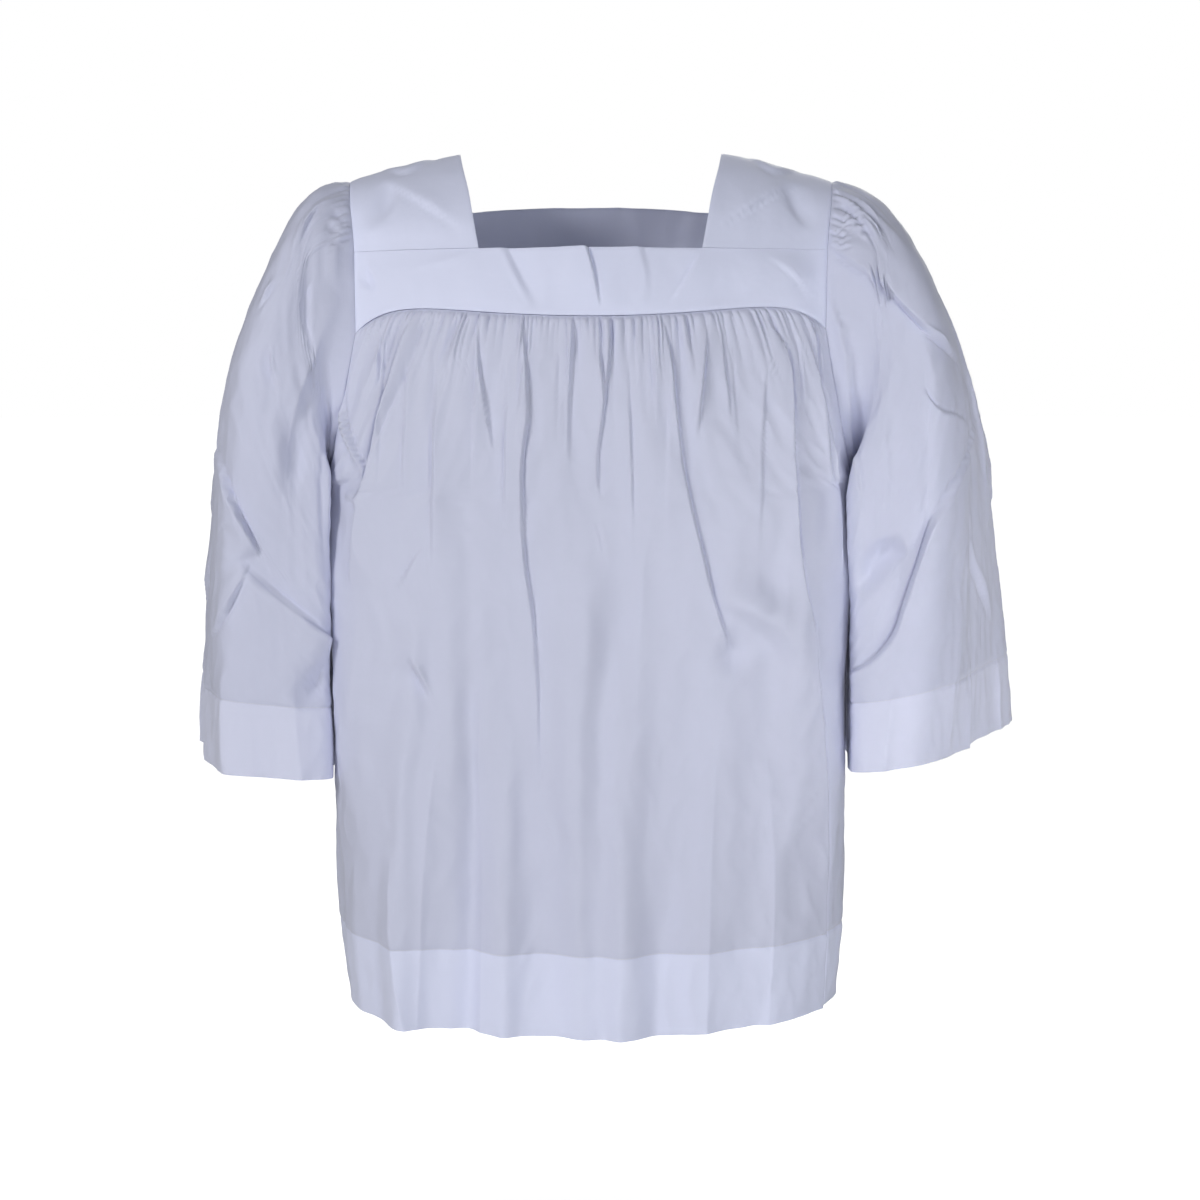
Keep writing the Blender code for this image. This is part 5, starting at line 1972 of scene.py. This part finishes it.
@dataclass
class HemStitches:
    """A line of lockstitches along a hem, as short raised loops of thread."""

    name: str
    row: Row
    closed: bool
    pitch: float = 3.0
    length: float = 2.5
    thread: float = 0.42  # its thickness

    BEVEL = 0.32  # of the thread's thickness
    DIP = 0.32  # how far its ends are drawn in, of the thickness
    DIP_POWER = 4
    LIFT = 0.1  # how far it stands out of the cloth, of the thickness
    STEP = 0.4  # half the length over which its direction is measured

    def one_stitch(self) -> tuple[np.ndarray, list[tuple[int, ...]]]:
        """Model one stitch with its ends drawn in.

        Returns:
            Its points in millimetres, along X, and its faces.
        """
        bpy.ops.object.select_all(action="DESELECT")
        bpy.ops.mesh.primitive_cylinder_add(
            vertices=6,
            radius=self.thread / 2,
            depth=self.length,
            end_fill_type="NGON",
            rotation=(0.0, math.pi / 2, 0.0),
        )
        stitch = bpy.context.active_object
        bpy.ops.object.transform_apply(location=True, rotation=True, scale=True)
        bpy.ops.object.mode_set(mode="EDIT")
        bpy.ops.mesh.select_all(action="SELECT")
        bpy.ops.mesh.bevel(offset=self.thread * self.BEVEL, segments=1, affect="EDGES")
        bpy.ops.object.mode_set(mode="OBJECT")
        mesh = stitch.data
        points = np.array([vertex.co[:] for vertex in mesh.vertices])
        away = 2.0 * points[:, 0] / self.length
        points[:, 2] -= self.DIP * self.thread * away**self.DIP_POWER
        faces = [tuple(face.vertices) for face in mesh.polygons]
        bpy.data.objects.remove(stitch)
        bpy.data.meshes.remove(mesh)
        return points, faces

    def build(self) -> bpy.types.Object:
        """Copy the stitch along the hem.

        Returns:
            The piece, with all its stitches in one mesh.
        """
        line, out = self.row.outer, unit(self.row.wall)
        if self.closed:
            line, out = np.concatenate([line, line[:1]]), np.concatenate([out, out[:1]])
        total = lengths_along(line)[-1]
        count = int(total / self.pitch)
        shares = (np.arange(count) + 0.5) / count
        centre = resample(line, shares)
        step = self.STEP / total
        along = unit(resample(line, shares + step) - resample(line, shares - step))
        up = unit(resample_vectors(line, out, shares))
        side = unit(np.cross(up, along))
        up = np.cross(along, side)
        points, faces = self.one_stitch()
        spots = (
            centre[:, None, :]
            + points[None, :, :1] * along[:, None, :]
            + points[None, :, 1:2] * side[:, None, :]
            + (points[None, :, 2:] + self.LIFT * self.thread) * up[:, None, :]
        )
        first = [k * len(points) for k in range(count)]
        every = [tuple(corner + start for corner in face) for start in first for face in faces]
        return put_in_scene(self.name, smooth_mesh(self.name, spots.reshape(-1, 3), every))


# ---------------------------------------------------------------- the garment


@dataclass(frozen=True)
class ClothCut:
    """What a piece of cloth was cut to, in metres, and how it is held."""

    width: float
    length: float
    held: str
    rests_on: tuple[str, ...]
    area: float | None = None  # where it is no rectangle, in square metres


@dataclass
class Surplice:
    """The whole garment: two yoke bands, two straps, two panels and two sleeves."""

    yoke_finish: PolyCotton = PolyCotton("yoke_poly_cotton")
    body_finish: PolyCotton = PolyCotton("body_poly_cotton")
    # The sleeves are cut from the body's cloth. Their colours are set a little darker as painted
    # shade, for how dim the sleeves look.
    sleeve_painted_shade_finish: PolyCotton = PolyCotton(
        "sleeve_poly_cotton", single=(0.64, 0.66, 0.82), double=(0.73, 0.75, 0.92)
    )
    thread_finish: SewingThread = SewingThread()

    def __post_init__(self) -> None:
        """Set out the pieces."""
        lower, upper = YOKE[: FRONT_TOP + 1], YOKE[BACK_TOP:]
        book = CreaseBook(YOKE_CREASES)
        self.front_band = YokeBand("front_yoke_cloth", Facing.FRONT, lower, book, Drape(61))
        book = CreaseBook(())
        self.back_band = YokeBand("back_yoke_cloth", Facing.BACK, upper, book, Drape(62))
        self.front = self.panel(
            "front_panel_cloth", Facing.FRONT, YOKE[0], FRONT_BODY, FRONT_CREASES, (11, 12, 13)
        )
        self.back = self.panel(
            "back_panel_cloth", Facing.BACK, YOKE[-1], BACK_BODY, BACK_CREASES, (23, 24, 25)
        )

    def panel(
        self,
        name: str,
        facing: Facing,
        seam: YokeCurve,
        curves: tuple[BodyCurve, ...],
        creases: tuple[Crease, ...],
        seeds: tuple[int, int, int],
    ) -> BodyPanel:
        """Set out a panel of the body.

        Args:
            name: The piece's name.
            facing: Where it looks.
            seam: The cross curve of the yoke that it hangs from.
            curves: Its half rings.
            creases: Its main creases.
            seeds: Where its fine gathers, medium gathers and loose folds start.

        Returns:
            The panel.
        """
        loose = LooseFolds(15, -185.0, 185.0, seam.mid_z, seeds[2], 4.0)
        gathers = (
            Gathers(66, 5.0, 7, 46, seeds[0], -0.96, 0.96, opens=2.0, cusp=0.55),
            Gathers(23, 5.2, 24, 150, seeds[1], -0.96, 0.96, opens=6.0, cusp=0.5, uneven=2.3),
        )
        book = CreaseBook(creases + loose.creases())
        pull = StitchPull(seeds[0] + 70)
        return BodyPanel(name, facing, seam, curves, gathers, book, Drape(seeds[0] + 80), pull)

    def sleeve(self, side: Side) -> Sleeve:
        """Set out a sleeve."""
        left = side is Side.LEFT
        seed = 5 if left else 6
        gathers = (
            Gathers(20, 4.4, 9, 36, seed, -0.14, 0.14, cusp=0.6),
            Gathers(7, 4.0, 24, 80, seed + 31, -0.14, 0.14, opens=8.0, cusp=0.6, uneven=2.0),
        )
        return Sleeve(
            "left_sleeve_cloth" if left else "right_sleeve_cloth",
            side,
            LEFT_SLEEVE if left else RIGHT_SLEEVE,
            gathers,
            CreaseBook(LEFT_SLEEVE_CREASES if left else RIGHT_SLEEVE_CREASES),
            CreaseBook(SLEEVE_BACK_CREASES),
            CreaseBook(SLEEVE_SIDE_CREASES),
            Drape(seed + 90, wave=2.8, wrinkle=0.5, crumple=0.7),
            StitchPull(seed + 110),
        )

    @staticmethod
    def share_seam(first: Row, second: Row) -> None:
        """Give two rows that a seam joins the same directions through their walls."""
        both = unit(unit(first.wall) + unit(second.wall)) * SINGLE_WALL
        first.wall[:] = both
        second.wall[:] = both

    @staticmethod
    def share_strap_ends(strap: list[Row], bands: tuple[list[Row], list[Row]], side: Side) -> None:
        """Give the ends of a strap and the bands the same directions through their walls.

        Args:
            strap: The rows of the strap.
            bands: The rows of the front and back bands.
            side: The strap's side.
        """
        right = side is Side.RIGHT
        for strap_row, band_row in ((strap[0], bands[0][-1]), (strap[-1], bands[1][-1])):
            count = len(strap_row.u)
            part = slice(-count, None) if right else slice(count)
            band_wall = band_row.wall[part] if right else band_row.wall[part][::-1]
            both = unit(unit(strap_row.wall) + unit(band_wall)) * SINGLE_WALL
            strap_row.wall[:] = both
            band_row.wall[part] = both if right else both[::-1]

    @staticmethod
    def close_sides(rows: list[Row], underarm: int) -> None:
        """Turn the walls at the side seams straight across.

        Args:
            rows: The rows of a panel.
            underarm: Its row at the underarm.
        """
        for row in rows[underarm:]:
            for column, side in ((0, Side.LEFT), (-1, Side.RIGHT)):
                thickness = float(np.linalg.norm(row.wall[column]))
                row.wall[column] = (side.value * thickness, 0.0, 0.0)

    def build(self) -> list[bpy.types.Object]:
        """Cut, gather and sew all the pieces.

        Returns:
            The pieces.
        """
        panels = self.front.rows(), self.back.rows()
        bands = self.front_band.rows(panels[0][0].u), self.back_band.rows(panels[1][0].u)
        underarms = self.front.underarm, self.back.underarm
        for band, panel, underarm in zip(bands, panels, underarms):
            self.share_seam(band[0], panel[0])
            self.close_sides(panel, underarm)
        pieces = []
        for side in Side:
            word = side.name.lower()
            curves = YOKE[FRONT_TOP : BACK_TOP + 1]
            book = CreaseBook(STRAP_CREASES)
            strap = Strap(f"{word}_strap_cloth", side, curves, book, Drape(64 + side.value))
            strap_rows = strap.rows()
            self.share_strap_ends(strap_rows, bands, side)
            sleeve = self.sleeve(side)
            sleeve_rows = Armhole(side, strap_rows, bands, panels, underarms).set_in(sleeve)
            shell = Shell(strap.name, strap_rows, strap.cut_width)
            cut = ClothCut(0.11, 0.19, "draped", ("front_yoke_cloth", "back_yoke_cloth"))
            pieces.append(self.finish(shell, self.yoke_finish, "yoke_cloth", cut))
            stitches = self.sew(f"{word}_cuff_stitches", sleeve.stitch_row, True)
            shell = Shell(sleeve.name, sleeve_rows, sleeve.cut_width, closed=True)
            cut = ClothCut(0.74, 0.56, "gathered", (strap.name, self.front.name), 0.33)
            pieces.append(self.finish(shell, self.sleeve_painted_shade_finish, "sleeve_cloth", cut))
            pieces.append(stitches)
        for band, rows, strap_name in (
            (self.front_band, bands[0], "left_strap_cloth"),
            (self.back_band, bands[1], "right_strap_cloth"),
        ):
            cut = ClothCut(0.43, 0.062, "draped", (strap_name,))
            shell = Shell(band.name, rows, 0.5 * band.cut_width)
            pieces.append(self.finish(shell, self.yoke_finish, "yoke_cloth", cut))
        for panel, rows, band, length in (
            (self.front, panels[0], self.front_band, 0.63),
            (self.back, panels[1], self.back_band, 0.67),
        ):
            cut = ClothCut(0.66, length, "gathered", (band.name,))
            shell = Shell(panel.name, rows, 0.5 * panel.cut_width)
            pieces.append(self.finish(shell, self.body_finish, "body_cloth", cut))
            stitches = panel.name.replace("panel_cloth", "hem_stitches")
            pieces.append(self.sew(stitches, panel.stitch_row, False))
        return pieces

    @staticmethod
    def finish(shell: Shell, finish: PolyCotton, slot: str, cut: ClothCut) -> bpy.types.Object:
        """Build a cloth piece, dress it and put it in the place of its solid.

        Args:
            shell: The cloth, named after its solid.
            finish: Its finish.
            slot: Not used.
            cut: What it was cut to.

        Returns:
            The piece.
        """
        piece = shell.build()
        piece.data.materials.append(bpy.data.materials.get(finish.name) or finish.material())
        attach(piece, "root")
        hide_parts(shell.name.removesuffix("_cloth"))
        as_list(cut.rests_on)
        LOG.info("%s: %d triangles", piece.name, len(piece.data.polygons))
        return piece

    def sew(self, name: str, row: Row, closed: bool) -> bpy.types.Object:
        """Sew a hem.

        Args:
            name: The name of the stitches.
            row: The row of the cloth that they follow.
            closed: Whether the row goes all the way round.

        Returns:
            The stitches.
        """
        piece = HemStitches(name, row, closed).build()
        finish = self.thread_finish
        piece.data.materials.append(bpy.data.materials.get(finish.name) or finish.material())
        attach(piece, "root")
        LOG.info("%s: %d faces", piece.name, len(piece.data.polygons))
        return piece


# ---------------------------------------------------------------- the studio


@dataclass
class SoftBox:
    """A large soft light."""

    name: str
    place: tuple[float, float, float]
    target: tuple[float, float, float]
    size: float
    power: float
    colour: tuple[float, float, float] = (1.0, 1.0, 1.0)
    spread: float = math.pi

    def build(self) -> bpy.types.Object:
        """Hang the light and aim it.

        Returns:
            The light.
        """
        light = bpy.data.lights.new(self.name, "AREA")
        light.shape = "SQUARE"
        light.size = self.size
        light.energy = self.power
        light.color = self.colour
        light.spread = self.spread
        item = put_in_scene(self.name, light)
        way = np.array(self.target) - np.array(self.place)
        level = math.hypot(way[0], way[1])
        item.location = self.place
        item.rotation_euler = (math.atan2(level, -way[2]), 0.0, math.atan2(-way[0], way[1]))
        return item


@dataclass
class Studio:
    """A plain pale floor, soft lights and the camera."""

    floor_z: float = -1.42
    floor_size: float = 60.0
    paper: StudioPaper = StudioPaper()
    camera_place: tuple[float, float, float] = (0.0081, -2.0, -0.15)
    camera_pitch: float = 7.03
    lens: float = 66.66
    sensor: float = 36.0
    surround: float = 0.14
    surround_colour: tuple[float, ...] = (0.95, 0.97, 1.0, 1.0)
    seen_colour: tuple[float, ...] = (1.0, 1.0, 1.0, 1.0)
    lights: tuple[SoftBox, ...] = (
        SoftBox("key_light", (-2.0, -1.75, 0.9), (0.0, 0.0, -0.35), 0.7, 34.0),
        SoftBox("fill_light", (1.5, -2.3, 0.0), (0.1, 0.0, -0.4), 1.2, 14.0, (0.94, 0.97, 1.0)),
        SoftBox("low_light", (0.2, -2.6, -1.3), (0.0, 0.0, -0.65), 1.0, 19.5),
        SoftBox("side_light", (1.7, -1.3, -0.4), (0.48, -0.05, -0.4), 0.4, 0.28, spread=0.42),
        SoftBox("back_light", (0.6, 2.4, 1.0), (0.0, 0.0, -0.35), 1.6, 30.0),
    )

    def build(self) -> None:
        """Set up the floor, the surroundings, the lights and the camera."""
        self.floor()
        self.world()
        for light in self.lights:
            light.build()
        data = bpy.data.cameras.new("camera")
        data.lens = self.lens
        data.sensor_width = self.sensor
        camera = put_in_scene("camera", data)
        camera.location = self.camera_place
        camera.rotation_euler = (math.radians(90.0 - self.camera_pitch), 0.0, 0.0)
        bpy.context.scene.camera = camera
        bpy.context.scene.view_settings.view_transform = "Standard"

    def floor(self) -> None:
        """Lay a wide round floor with a soft rim."""
        bpy.ops.object.select_all(action="DESELECT")
        bpy.ops.mesh.primitive_circle_add(
            vertices=96,
            radius=self.floor_size / 2,
            fill_type="NGON",
            location=(0.0, 0.0, self.floor_z),
        )
        floor = bpy.context.active_object
        floor.name = "studio_floor"
        bpy.ops.object.mode_set(mode="EDIT")
        bpy.ops.mesh.select_all(action="SELECT")
        bpy.ops.mesh.inset(thickness=self.floor_size / 20)
        bpy.ops.object.mode_set(mode="OBJECT")
        bpy.ops.object.transform_apply(location=True, rotation=True, scale=True)
        floor.data.materials.append(self.paper.material())

    def world(self) -> None:
        """Surround the garment with an even pale light."""
        world = bpy.data.worlds.new("studio_surround")
        world.use_nodes = True
        tree = world.node_tree
        soft = tree.nodes["Background"]
        soft.inputs["Color"].default_value = self.surround_colour
        soft.inputs["Strength"].default_value = self.surround
        seen = tree.nodes.new("ShaderNodeBackground")
        seen.inputs["Color"].default_value = self.seen_colour
        path = tree.nodes.new("ShaderNodeLightPath")
        mix = tree.nodes.new("ShaderNodeMixShader")
        tree.links.new(path.outputs["Is Camera Ray"], mix.inputs[0])
        tree.links.new(soft.outputs[0], mix.inputs[1])
        tree.links.new(seen.outputs[0], mix.inputs[2])
        tree.links.new(mix.outputs[0], tree.nodes["World Output"].inputs["Surface"])
        bpy.context.scene.world = world


def main() -> None:
    """Dress the garment, then set up the studio round it."""
    logging.basicConfig(level=logging.INFO, format="%(name)s: %(message)s")
    pieces = Surplice().build()
    LOG.info("%d pieces", len(pieces))
    Studio().build()


if __name__ == "__main__":
    main()
